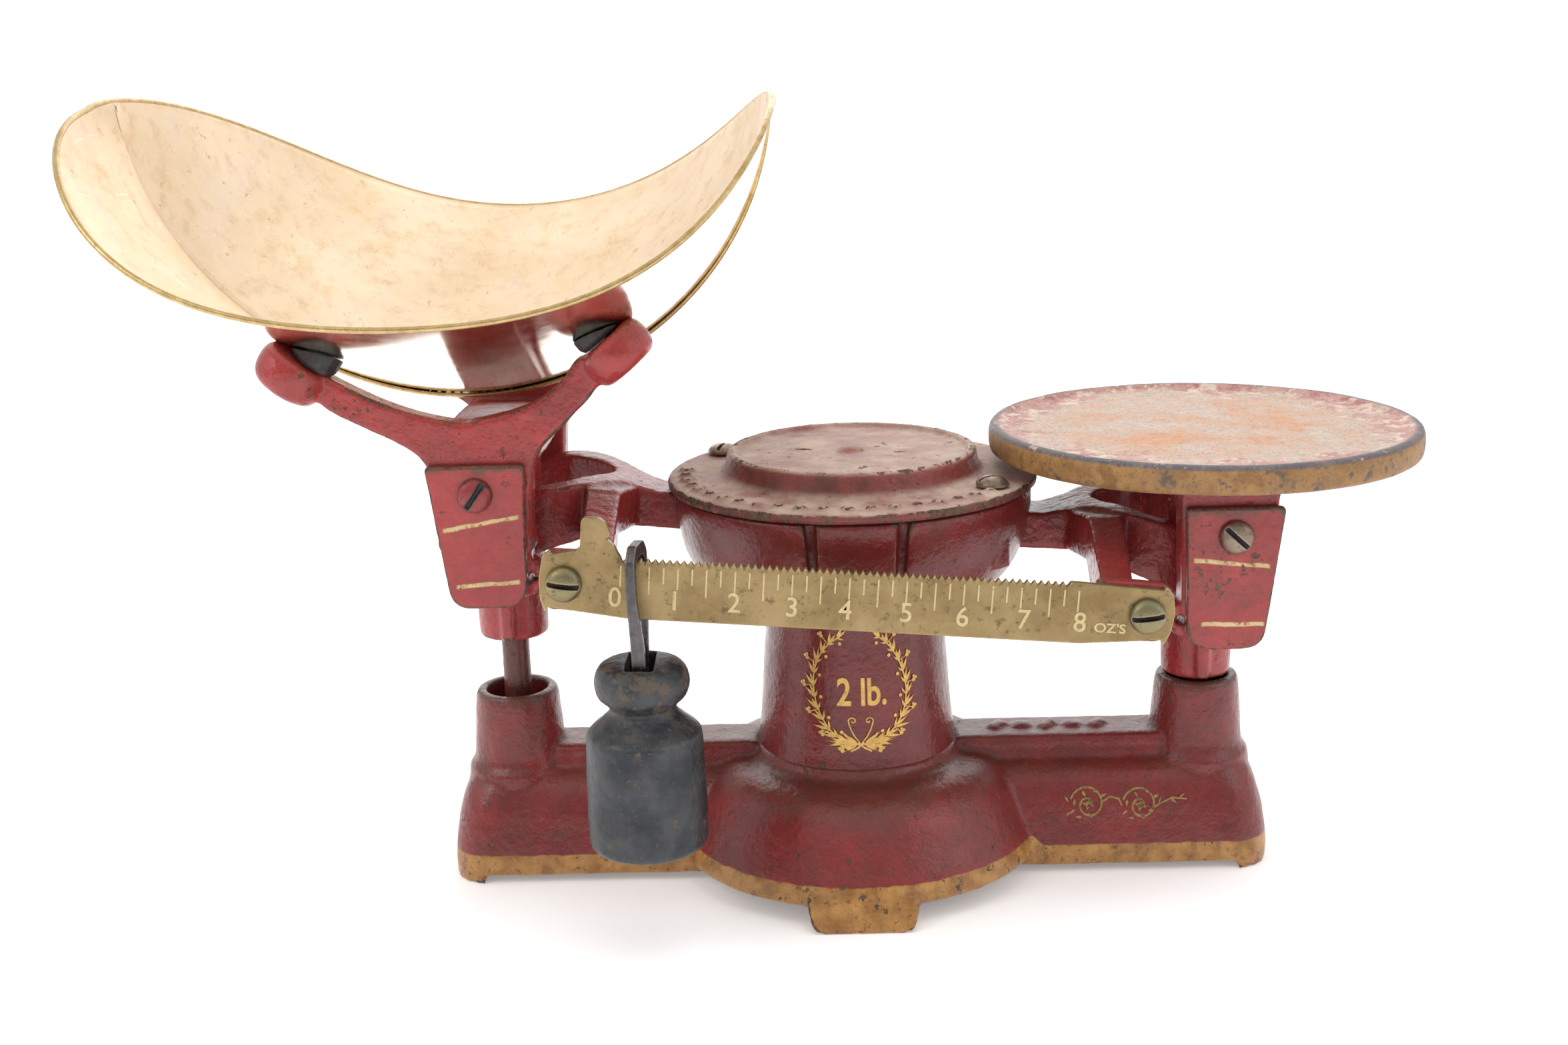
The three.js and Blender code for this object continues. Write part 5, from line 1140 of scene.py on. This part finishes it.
def make_scoop():
    rims = []
    for side, name, node in ((1, "scoop_trough", "scoop_body"), (-1, "scoop_back", "scoop_end")):
        # the outside keeps its own, better polished finish
        rows = sheet(side)
        v, f, tag = skin(rows, 0.6)
        me = bpy.data.meshes.new(name)
        me.from_pydata(v.tolist(), [], f)
        o = bpy.data.objects.new(name, me)
        bpy.context.scene.collection.objects.link(o)
        bm = bmesh.new()
        bm.from_mesh(me)
        bmesh.ops.recalc_face_normals(bm, faces=bm.faces)
        bm.to_mesh(me)
        bm.free()
        done(o, [M_IN, M_OUT], "scoop", [node])
        o.data.polygons.foreach_set("material_index", tag)
        o.data.update()
        rims.append(rows[:, -1])
    # one rolled bead all the way round the mouth
    loop = np.concatenate([rims[0][:-1:2], rims[1][:0:-2]]) if np.linalg.norm(rims[0][-1] - rims[1][-1]) < 1 else np.concatenate([rims[0][:-1:2], rims[1][:-1:2]])
    w = raw("scoop_bead", [tube([tuple(p) for p in loop], 0.78, 16, closed=True)])
    done(w, M_RIM, "scoop")
    sl = sheet(1)[:, 0] + np.array([0, -0.45, -0.5])
    b = raw("scoop_seam", [tube([tuple(p) for p in sl[::2]] + [tuple(sl[-1])], 0.62, 14)])
    done(b, M_RIM, "scoop")


def make_plate():
    u = 122.5
    prof = [(0, u - 7.3), (49, u - 7.3), (51, u - 5.2), (53.8, u - 5.2), (54.4, u - 7.6), (56.0, u - 7.6), (56.7, u - 7.3), (57.2, u - 6.7), (57.45, u - 5.6), (57.55, u - 3.6), (57.45, u - 2.0), (57.1, u - 0.9), (56.5, u - 0.25), (55.7, u), (54.8, u - 0.1), (54.0, u - 0.45), (53.2, u - 0.95), (52.4, u - 1.3), (50.5, u - 1.5), (47, u - 1.55), (30, u - 1.5), (0, u - 1.45)]
    o = raw("plate", [lathe(prof, 220, KR[0])])
    boolean(o, raw("c", [cyl(2.3, u - 8, u - 3, (KR[0], 0), "z")]))
    remesh(o, 0.5)
    edge_smooth(o, 2)
    bumps(o, 10.0, 0.25)
    done(o, M_PLATE, "right_hanger", ["weight_plate"])


def make_poise():
    along = ZERO_X + 0.25 * OZ
    nx, nz = along * math.cos(TILT) - 3.2 * math.sin(TILT), PIVOT_Z - along * math.sin(TILT) - 3.2 * math.cos(TILT)
    y, top = BAR_Y + BAR_T / 2, nz
    outer = [(-3.6, 3.6), (3.6, 3.6), (6.6, 0.4), (7.2, -10), (6, -28), (4.6, -37.5), (0, -40.2), (-4.6, -37.5), (-6, -28), (-7.2, -10), (-6.6, 0.4)]
    inner = [(-2, 0.5), (2, 0.5), (4.6, -1.6), (5.2, -10), (4, -28), (3, -36), (0, -37.6), (-3, -36), (-4, -28), (-5.2, -10), (-4.6, -1.6)]
    o = raw("bail", [prism(rounded([(a + y, b + top) for a, b in outer], 2.2, 6), nx - 1.7, nx + 1.7, "x")])
    boolean(o, raw("c", [prism(rounded([(a + y, b + top) for a, b in inner], 1.4, 6), nx - 4, nx + 4, "x")]))
    remesh(o, 0.28)
    edge_smooth(o, 5)
    # the strap narrows and twists a little towards its top; the foot stays square in the weight's slot
    for q in o.data.vertices:
        k = max(0.0, min(1.0, (q.co.z - (top - 26)) / 22))
        k = k * k * (3 - 2 * k)
        a = math.radians(-9) * k
        dx, dy = (q.co.x - nx) * (1 - 0.30 * k), q.co.y - y
        q.co.x = nx + dx * math.cos(a) - dy * math.sin(a)
        q.co.y = y + dx * math.sin(a) + dy * math.cos(a)
    done(o, M_BAIL, "bail", ["poise_bail"])
    eye = top - 38.9
    prof = [(0, -4.2), (12.4, -4.2)] + catmull([(13.7, -3.8), (14.6, -2.9), (15.0, -1.2), (15.05, 6), (14.95, 14), (14.7, 22), (14.5, 25.4)], 4) + catmull([(14.3, 26.4), (13.5, 27.3), (11.6, 28.95), (9.6, 30.6), (8.55, 31.7), (8.2, 32.5), (8.45, 33.4), (9.6, 34.7), (10.9, 35.8), (11.6, 37.4), (11.85, 39), (11.7, 41), (11.1, 42.6), (9.9, 43.9), (7.6, 44.8), (4, 45.15)], 4) + [(0, 45.2)]
    w = raw("poise", [lathe(prof, 128, nx, y, eye - 32.2)])
    remesh(w, 0.45)
    cut = [prism([(nx - 2.3, eye - 3.2), (nx + 2.3, eye - 3.2), (nx + 3.7, eye + 16), (nx - 3.7, eye + 16)], y - 5.8, y + 5.8, "y"), prism([(nx - 2.8, eye + 4), (nx + 2.8, eye + 4), (nx + 3.8, eye + 16), (nx - 3.8, eye + 16)], y - 7.6, y + 7.6, "y"), cyl(6.3, eye - 38, eye - 27.2, (nx, y), "z")]
    boolean(w, remesh(raw("c", cut), 0.45))
    me = w.data
    bm = bmesh.new()
    bm.from_mesh(me)
    bar = raw("e", [box(nx - 6.6, nx + 6.6, y - 1, y + 1, eye + 2.2, eye + 4.6)])
    bm.from_mesh(bar.data)
    bm.to_mesh(me)
    bm.free()
    bpy.data.objects.remove(bar)
    remesh(w, 0.45)
    edge_smooth(w, 3)
    bumps(w, 4.0, 0.3)
    done(w, M_POISE, "poise", ["poise_weight"])


def make_bumpers():
    """Rubber domes: the CAD solid with its corners softened, so that it keeps its fit to the scoop."""
    for n in ("front", "back"):
        for s in ("left", "right"):
            node = "bumper_%s_%s" % (n, s)
            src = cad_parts[node].data
            me = src.copy()
            me.materials.clear()
            for a in list(me.attributes):
                if a.name in ("UVMap",):
                    me.attributes.remove(a)
            o = bpy.data.objects.new("rubber_%s_%s" % (n, s), me)
            bpy.context.scene.collection.objects.link(o)
            me.transform(Matrix.Translation((-OX, -OY, 0)) @ Matrix.Scale(1000, 4))
            remesh(o, 0.3)
            edge_smooth(o, 5)
            done(o, M_RUB, "left_hanger", [node])


# ------------------------------------------------------------------ painted ornament on the column
def on_column(x, z, lift):
    r = np.interp(z, [31.8, 38, 49, 61, 71, 74.6], [27.9, 27.2, 26.2, 25.3, 24.5, 25.0]) + lift
    a = x / 25.5
    return (r * math.sin(a), -r * math.cos(a), z)


def on_arm(x, z, lift):
    y = np.interp(z, [9, 12.5, 16, 19, 22, 24.8], [19.8, 19.0, 18.2, 17.4, 16.4, 15.2])
    return (x, -y - lift, z)


def decal(name, shapes, lift=0.16, thick=0.12, where=None, material=None, body="base"):
    where = where or on_column
    v, f = [], []
    for pts in shapes:
        c = np.mean(pts, axis=0)
        rings = [[tuple(c + (np.array(p) - c) * k) for p in pts] for k in (1.0, 0.66, 0.33)]
        base = len(v)
        n = len(pts)
        for lay in (lift, lift + thick):
            for r in rings:
                v += [where(x, z, lay) for x, z in r]
            v.append(where(c[0], c[1], lay))
        L = 3 * n + 1
        for lay in (0, 1):
            o = base + lay * L
            for k in range(2):
                for i in range(n):
                    j = (i + 1) % n
                    q = (o + k * n + i, o + k * n + j, o + (k + 1) * n + j, o + (k + 1) * n + i)
                    f.append(q if lay else tuple(reversed(q)))
            for i in range(n):
                j = (i + 1) % n
                q = (o + 2 * n + i, o + 2 * n + j, o + 3 * n)
                f.append(q if lay else tuple(reversed(q)))
        for i in range(n):
            j = (i + 1) % n
            f.append((base + i, base + j, base + L + j, base + L + i))
    o = raw(name, [(np.array(v), f)])
    return done(o, material or M_GILT, body, smooth=False)


def leaf(b, ang, ln, wd):
    """Narrow pointed leaf from b, ang measured from +z towards +x."""
    d = np.array([math.sin(ang), math.cos(ang)])
    q = np.array([d[1], -d[0]])
    ts = np.linspace(0, 1, 6)
    side = lambda k: [tuple(np.array(b) + d * ln * t + q * k * wd * math.sin(math.pi * min(1, t * 1.15 + 0.02)) ** 0.9 * (1 - 0.55 * t)) for t in ts]
    return side(1) + side(-1)[::-1][1:-1]


def stroke(pts, w):
    """Thin line as short quads."""
    out, p = [], [np.array(q, float) for q in pts]
    for a, b in zip(p, p[1:]):
        d = b - a
        n = np.linalg.norm(d)
        if n < 1e-6:
            continue
        q = np.array([-d[1], d[0]]) / n * w
        e = d / n * w * 0.3
        out.append([tuple(a - q - e), tuple(b - q + e), tuple(b + q + e), tuple(a + q - e)])
    return out


def spot(c, r, n=9):
    return [(c[0] + r * math.cos(2 * math.pi * k / n), c[1] + r * math.sin(2 * math.pi * k / n)) for k in range(n)]


def curl(c, r0, turns, a0, hand, n=22):
    """Spiral from radius r0 in to nothing."""
    return [(c[0] + r0 * (1 - k / n) * math.cos(a0 + hand * turns * 2 * math.pi * k / n), c[1] + r0 * (1 - k / n) * math.sin(a0 + hand * turns * 2 * math.pi * k / n)) for k in range(n)]


def make_wreath():
    cx, cz, rx, rz = 0.6, 57.0, 12.7, 15.4
    shapes = []
    r = np.random.default_rng(5)
    stem = lambda a: np.array([cx + rx * math.sin(a) * (1 + 0.05 * math.sin(2 * a)), cz - rz * math.cos(a)])
    for h in (-1, 1):
        arc = [stem(h * a) for a in np.linspace(0.02, 2.72, 46)]
        shapes += stroke(arc, 0.20)
        n = 12
        for i in range(n):
            a = 0.30 + 2.36 * i / (n - 1)
            p = stem(h * a)
            t = stem(h * (a + 0.05)) - p
            go = math.atan2(t[0], t[1])
            size = 1 - 0.30 * i / n
            shapes.append(leaf(p, go + h * (0.55 + 0.15 * r.random()), (4.6 + r.random()) * size, 0.52))
            shapes.append(leaf(p + t * 0.7, go + h * (0.22 + 0.1 * r.random()), (3.9 + r.random()) * size, 0.42))
            shapes.append(leaf(p, go - h * (0.42 + 0.25 * r.random()), (2.6 + 0.8 * r.random()) * size, 0.36))
            if i % 2 == 0:
                q = p + np.array([math.cos(go), -math.sin(go)]) * h * (2.4 + 0.8 * r.random())
                shapes += stroke([p, q], 0.13)
                shapes += [spot(q, 0.55), spot(q + np.array([0.75 * h, 0.55]), 0.42), spot(q + np.array([0.1 * h, 0.95]), 0.42)]
            else:
                q = p - np.array([math.cos(go), -math.sin(go)]) * h * 1.7
                shapes.append(spot(q, 0.48))
        # sprays and curls at the foot
        foot = np.array([cx, cz - rz])
        for ang, ln in ((1.25, 7.6), (1.50, 8.6), (1.80, 6.4), (0.95, 5.6), (2.15, 4.2)):
            shapes.append(leaf(foot + np.array([h * 0.8, 0.2]), h * ang, ln, 0.55))
            shapes.append(leaf(foot + np.array([h * (0.8 + 0.45 * ln), 0.2 + 0.45 * ln * math.cos(ang)]), h * (ang - 0.35), ln * 0.4, 0.4))
        shapes += stroke([(foot[0] + h * 0.3, foot[1] + 0.4), (foot[0] + h * 1.6, foot[1] + 2.2), (foot[0] + h * 2.6, foot[1] + 4.2), (foot[0] + h * 3.2, foot[1] + 6.2)], 0.17)
        shapes += stroke(curl((cx + h * 2.1, foot[1] + 6.4), 1.15, 1.1, 0.0 if h > 0 else math.pi, h), 0.16)
        shapes += stroke([(foot[0] - h * 0.6, foot[1] + 0.5), (foot[0] + h * 0.8, foot[1] - 0.9), (foot[0] + h * 2.6, foot[1] - 1.9)], 0.26)
    decal("wreath", shapes)
    t1 = text_piece("2 lb.", 10.6, cx + 0.5, cz - 4.6, 0.06, 0.0, xs=0.74, bold=0.22)
    bm = bmesh.new()
    bm.from_mesh(t1.data)
    bmesh.ops.triangulate(bm, faces=bm.faces)
    bmesh.ops.subdivide_edges(bm, edges=[e for e in bm.edges if e.calc_length() > 1.2], cuts=2, use_grid_fill=False)
    for q in bm.verts:
        q.co = Vector(on_column(q.co.x, q.co.z, 0.22 - q.co.y))
    bm.to_mesh(t1.data)
    bm.free()
    t1.name = "capacity_mark"
    done(t1, M_GILT, "base", smooth=False)
    # rubbed scroll on the front of the right-hand arm
    sc = []
    for c, h in (((63.0, 18.9), 1), ((77.4, 18.4), 1)):
        sc += stroke(curl(c, 5.0, 1.7, math.pi * 0.9, -h, 34), 0.30)
        for k in range(7):
            a = 0.5 + 0.75 * k
            sc.append(leaf((c[0] + 3.9 * math.cos(a), c[1] + 3.9 * math.sin(a)), a + 0.6, 2.2, 0.5))
        sc.append(spot(c, 0.9))
        for k in range(4):
            sc.append(leaf(c, 0.4 + 1.5 * k, 2.0, 0.5))
    sc += stroke([(66.5, 19.2), (69.0, 20.8), (71.4, 20.2), (72.2, 18.4)], 0.24)
    sc += stroke([(79.6, 16.8), (82.4, 18.6), (86.0, 20.2), (90.0, 19.8)], 0.22)
    sc += [leaf((82.4, 18.6), 0.3, 2.4, 0.4), leaf((85.6, 20.0), 2.2, 2.6, 0.4), leaf((88.0, 20.1), 0.9, 2.4, 0.35), leaf((57.6, 19.6), -0.6, 2.2, 0.4), leaf((58.0, 17.0), -2.3, 2.0, 0.4)]
    decal("arm_scroll", sc, where=on_arm, lift=0.10, thick=0.10, material=M_OCHRE)


M_HSCREW = enamel("painted_screw", (0.22, 0.016, 0.022), (0.30, 0.03, 0.035), wear=0.9, chips=0.6, gloss=0.22, pebble=0.3)
M_OCHRE = gilt("rubbed_gilt", (0.40, 0.25, 0.08), (0.20, 0.10, 0.04), 0.42, 0.2)
M_RIM = steel("scoop_wire", (0.44, 0.29, 0.115), (0.60, 0.44, 0.22), 0.24, 0.0)

import time
_t = time.time()


def lap(what):
    print("BUILD %s %.1f s" % (what, time.time() - _t))


make_base(); lap("base")
make_column(); lap("column")
make_cover(); lap("cover")
screw("cover_screw", (36, -24, 111.4), (0, 0, 1), 4.4, 2.6, 1.9, 13.8, 0.3, M_SCREW, "base", "cover_screw_front")
screw("cover_screw_rear", (-36, 24, 111.4), (0, 0, 1), 4.4, 2.6, 1.9, 13.8, 1.2, M_SCREW, "base", "cover_screw_back")
make_beam(); lap("beam")
make_bar(); lap("bar")
for _s, _n in ((-1, "left"), (1, "right")):
    c = level((_s * 71.2, BAR_Y - GAP, -10.6))
    screw("scale_screw_" + _n, c, (0, -1, 0), 4.5, 2.9, 1.75, 6.8, -0.14 if _s < 0 else 0.10, M_BRASSY, "beam", "bar_screw_" + _n)
make_hanger("left"); lap("left")
make_hanger("right"); lap("right")
make_scoop(); lap("scoop")
make_plate(); lap("plate")
make_poise(); lap("poise")
make_bumpers(); lap("bumpers")
make_wreath(); lap("wreath")

# what stays as CAD, hidden inside: knife edges, bearings, lever, pins and their screws
for node, mat in (("check_lever", M_BAIL), ("check_pivot_pin", M_KNIFE), ("poise_plug", M_LEAD), ("plate_stud", M_ROD), ("column_screw_front", M_SCREW), ("column_screw_back", M_SCREW)):
    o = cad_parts[node]
    for s in o.material_slots:
        s.material = mat
for node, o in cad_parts.items():
    if "knife" in node or node.endswith("_pin") or (("bearing" in node) and "cover" not in node):
        for s in o.material_slots:
            s.material = M_KNIFE

# ------------------------------------------------------------------ set, lights and camera
scene = bpy.context.scene
M_FLOOR = Mat("set_white")
_n = M_FLOOR.noise(400, 2)
M_FLOOR = M_FLOOR.finish(M_FLOOR.mix(_n, (0.93, 0.93, 0.93), (0.95, 0.95, 0.95)), 0.9, 0.0)
_p = M_FLOOR.node_tree.nodes["Principled BSDF"]
_p.inputs["Emission Color"].default_value = (1, 1, 1, 1)
_p.inputs["Emission Strength"].default_value = 0.22
R = 4.0
me = bpy.data.meshes.new("floor")
seg = 64
ring = [(R * math.cos(2 * math.pi * i / seg), R * math.sin(2 * math.pi * i / seg), -0.0002) for i in range(seg)]
me.from_pydata(ring, [], [tuple(range(seg))])
floor = bpy.data.objects.new("floor", me)
scene.collection.objects.link(floor)
me.materials.append(M_FLOOR)


def area(name, at, look, size, power, color=(1, 1, 1), size_y=None):
    d = bpy.data.lights.new(name, "AREA")
    d.shape = "RECTANGLE"
    d.size, d.size_y = size, size_y or size
    d.energy = power
    d.color = color
    o = bpy.data.objects.new(name, d)
    scene.collection.objects.link(o)
    o.location = at
    o.rotation_euler = (Vector(look) - Vector(at)).to_track_quat("-Z", "Y").to_euler()
    return o


area("top_soft", (0.1, 0.15, 1.5), (0, 0, 0.1), 1.6, 15).visible_glossy = False
area("key_left", (-1.25, -0.75, 1.15), (0, 0, 0.1), 0.7, 6.5, size_y=0.9)
area("fill_right", (1.3, -0.7, 0.7), (0, 0, 0.1), 0.8, 2.5)
area("back_soft", (0.0, 1.6, 0.9), (0, 0, 0.2), 1.6, 8)

w = bpy.data.worlds.new("world")
scene.world = w
w.use_nodes = True
bg = w.node_tree.nodes["Background"]
bg.inputs["Color"].default_value = (1, 1, 1, 1)
# white to the eye and in reflections; for diffuse light the front is dimmer than the top and the back
nt = w.node_tree


def wn(kind, ins, **k):
    n = nt.nodes.new(kind)
    for a, b in k.items():
        setattr(n, a, b)
    for i, v in ins.items():
        if hasattr(v, "is_linked"):
            nt.links.new(v, n.inputs[i])
        else:
            n.inputs[i].default_value = v
    return n


lp = wn("ShaderNodeLightPath", {})
tc = wn("ShaderNodeTexCoord", {})
ax = wn("ShaderNodeSeparateXYZ", {0: tc.outputs["Generated"]})
front = wn("ShaderNodeMapRange", {0: ax.outputs[1], 1: -0.95, 2: 0.1, 3: 1.0, 4: 0.0})
low = wn("ShaderNodeMapRange", {0: ax.outputs[2], 1: 0.15, 2: 0.65, 3: 1.0, 4: 0.0})
dim = wn("ShaderNodeMath", {0: front.outputs[0], 1: low.outputs[0]}, operation="MULTIPLY")
gl = wn("ShaderNodeMapRange", {0: dim.outputs[0], 1: 0.0, 2: 1.0, 3: 1.0, 4: 0.14})
df = wn("ShaderNodeMapRange", {0: front.outputs[0], 1: 0.0, 2: 1.0, 3: 1.0, 4: 0.70})
m1 = wn("ShaderNodeMix", {0: lp.outputs["Is Glossy Ray"], 2: 1.0, 3: gl.outputs[0]}, data_type="FLOAT")
m2 = wn("ShaderNodeMix", {0: lp.outputs["Is Diffuse Ray"], 2: m1.outputs[0], 3: df.outputs[0]}, data_type="FLOAT")
nt.links.new(m2.outputs[0], bg.inputs["Strength"])

cam = bpy.data.cameras.new("camera")
cam.sensor_width = 36.0
cam.sensor_fit = "HORIZONTAL"
cam.lens = 2800 * 36.0 / 2352
cam.clip_start, cam.clip_end = 0.01, 20
co = bpy.data.objects.new("camera", cam)
scene.collection.objects.link(co)
C = Vector((-9.95, -496.6, 225.07))
yaw, pitch, roll = math.radians(-1.03), math.radians(14.51), math.radians(-1.62)
fwd = Vector((math.sin(yaw) * math.cos(pitch), math.cos(yaw) * math.cos(pitch), -math.sin(pitch)))
right = Vector((math.cos(yaw), -math.sin(yaw), 0))
up = right.cross(fwd)
r2 = right * math.cos(roll) + up * math.sin(roll)
u2 = -right * math.sin(roll) + up * math.cos(roll)
Mx = Matrix((r2, u2, -fwd)).transposed().to_4x4()
Mx.translation = Vector(((C.x + OX) / 1000, (C.y + OY) / 1000, C.z / 1000))
co.matrix_world = Mx
scene.camera = co
scene.view_settings.view_transform = "Standard"
scene.view_settings.look = "None"
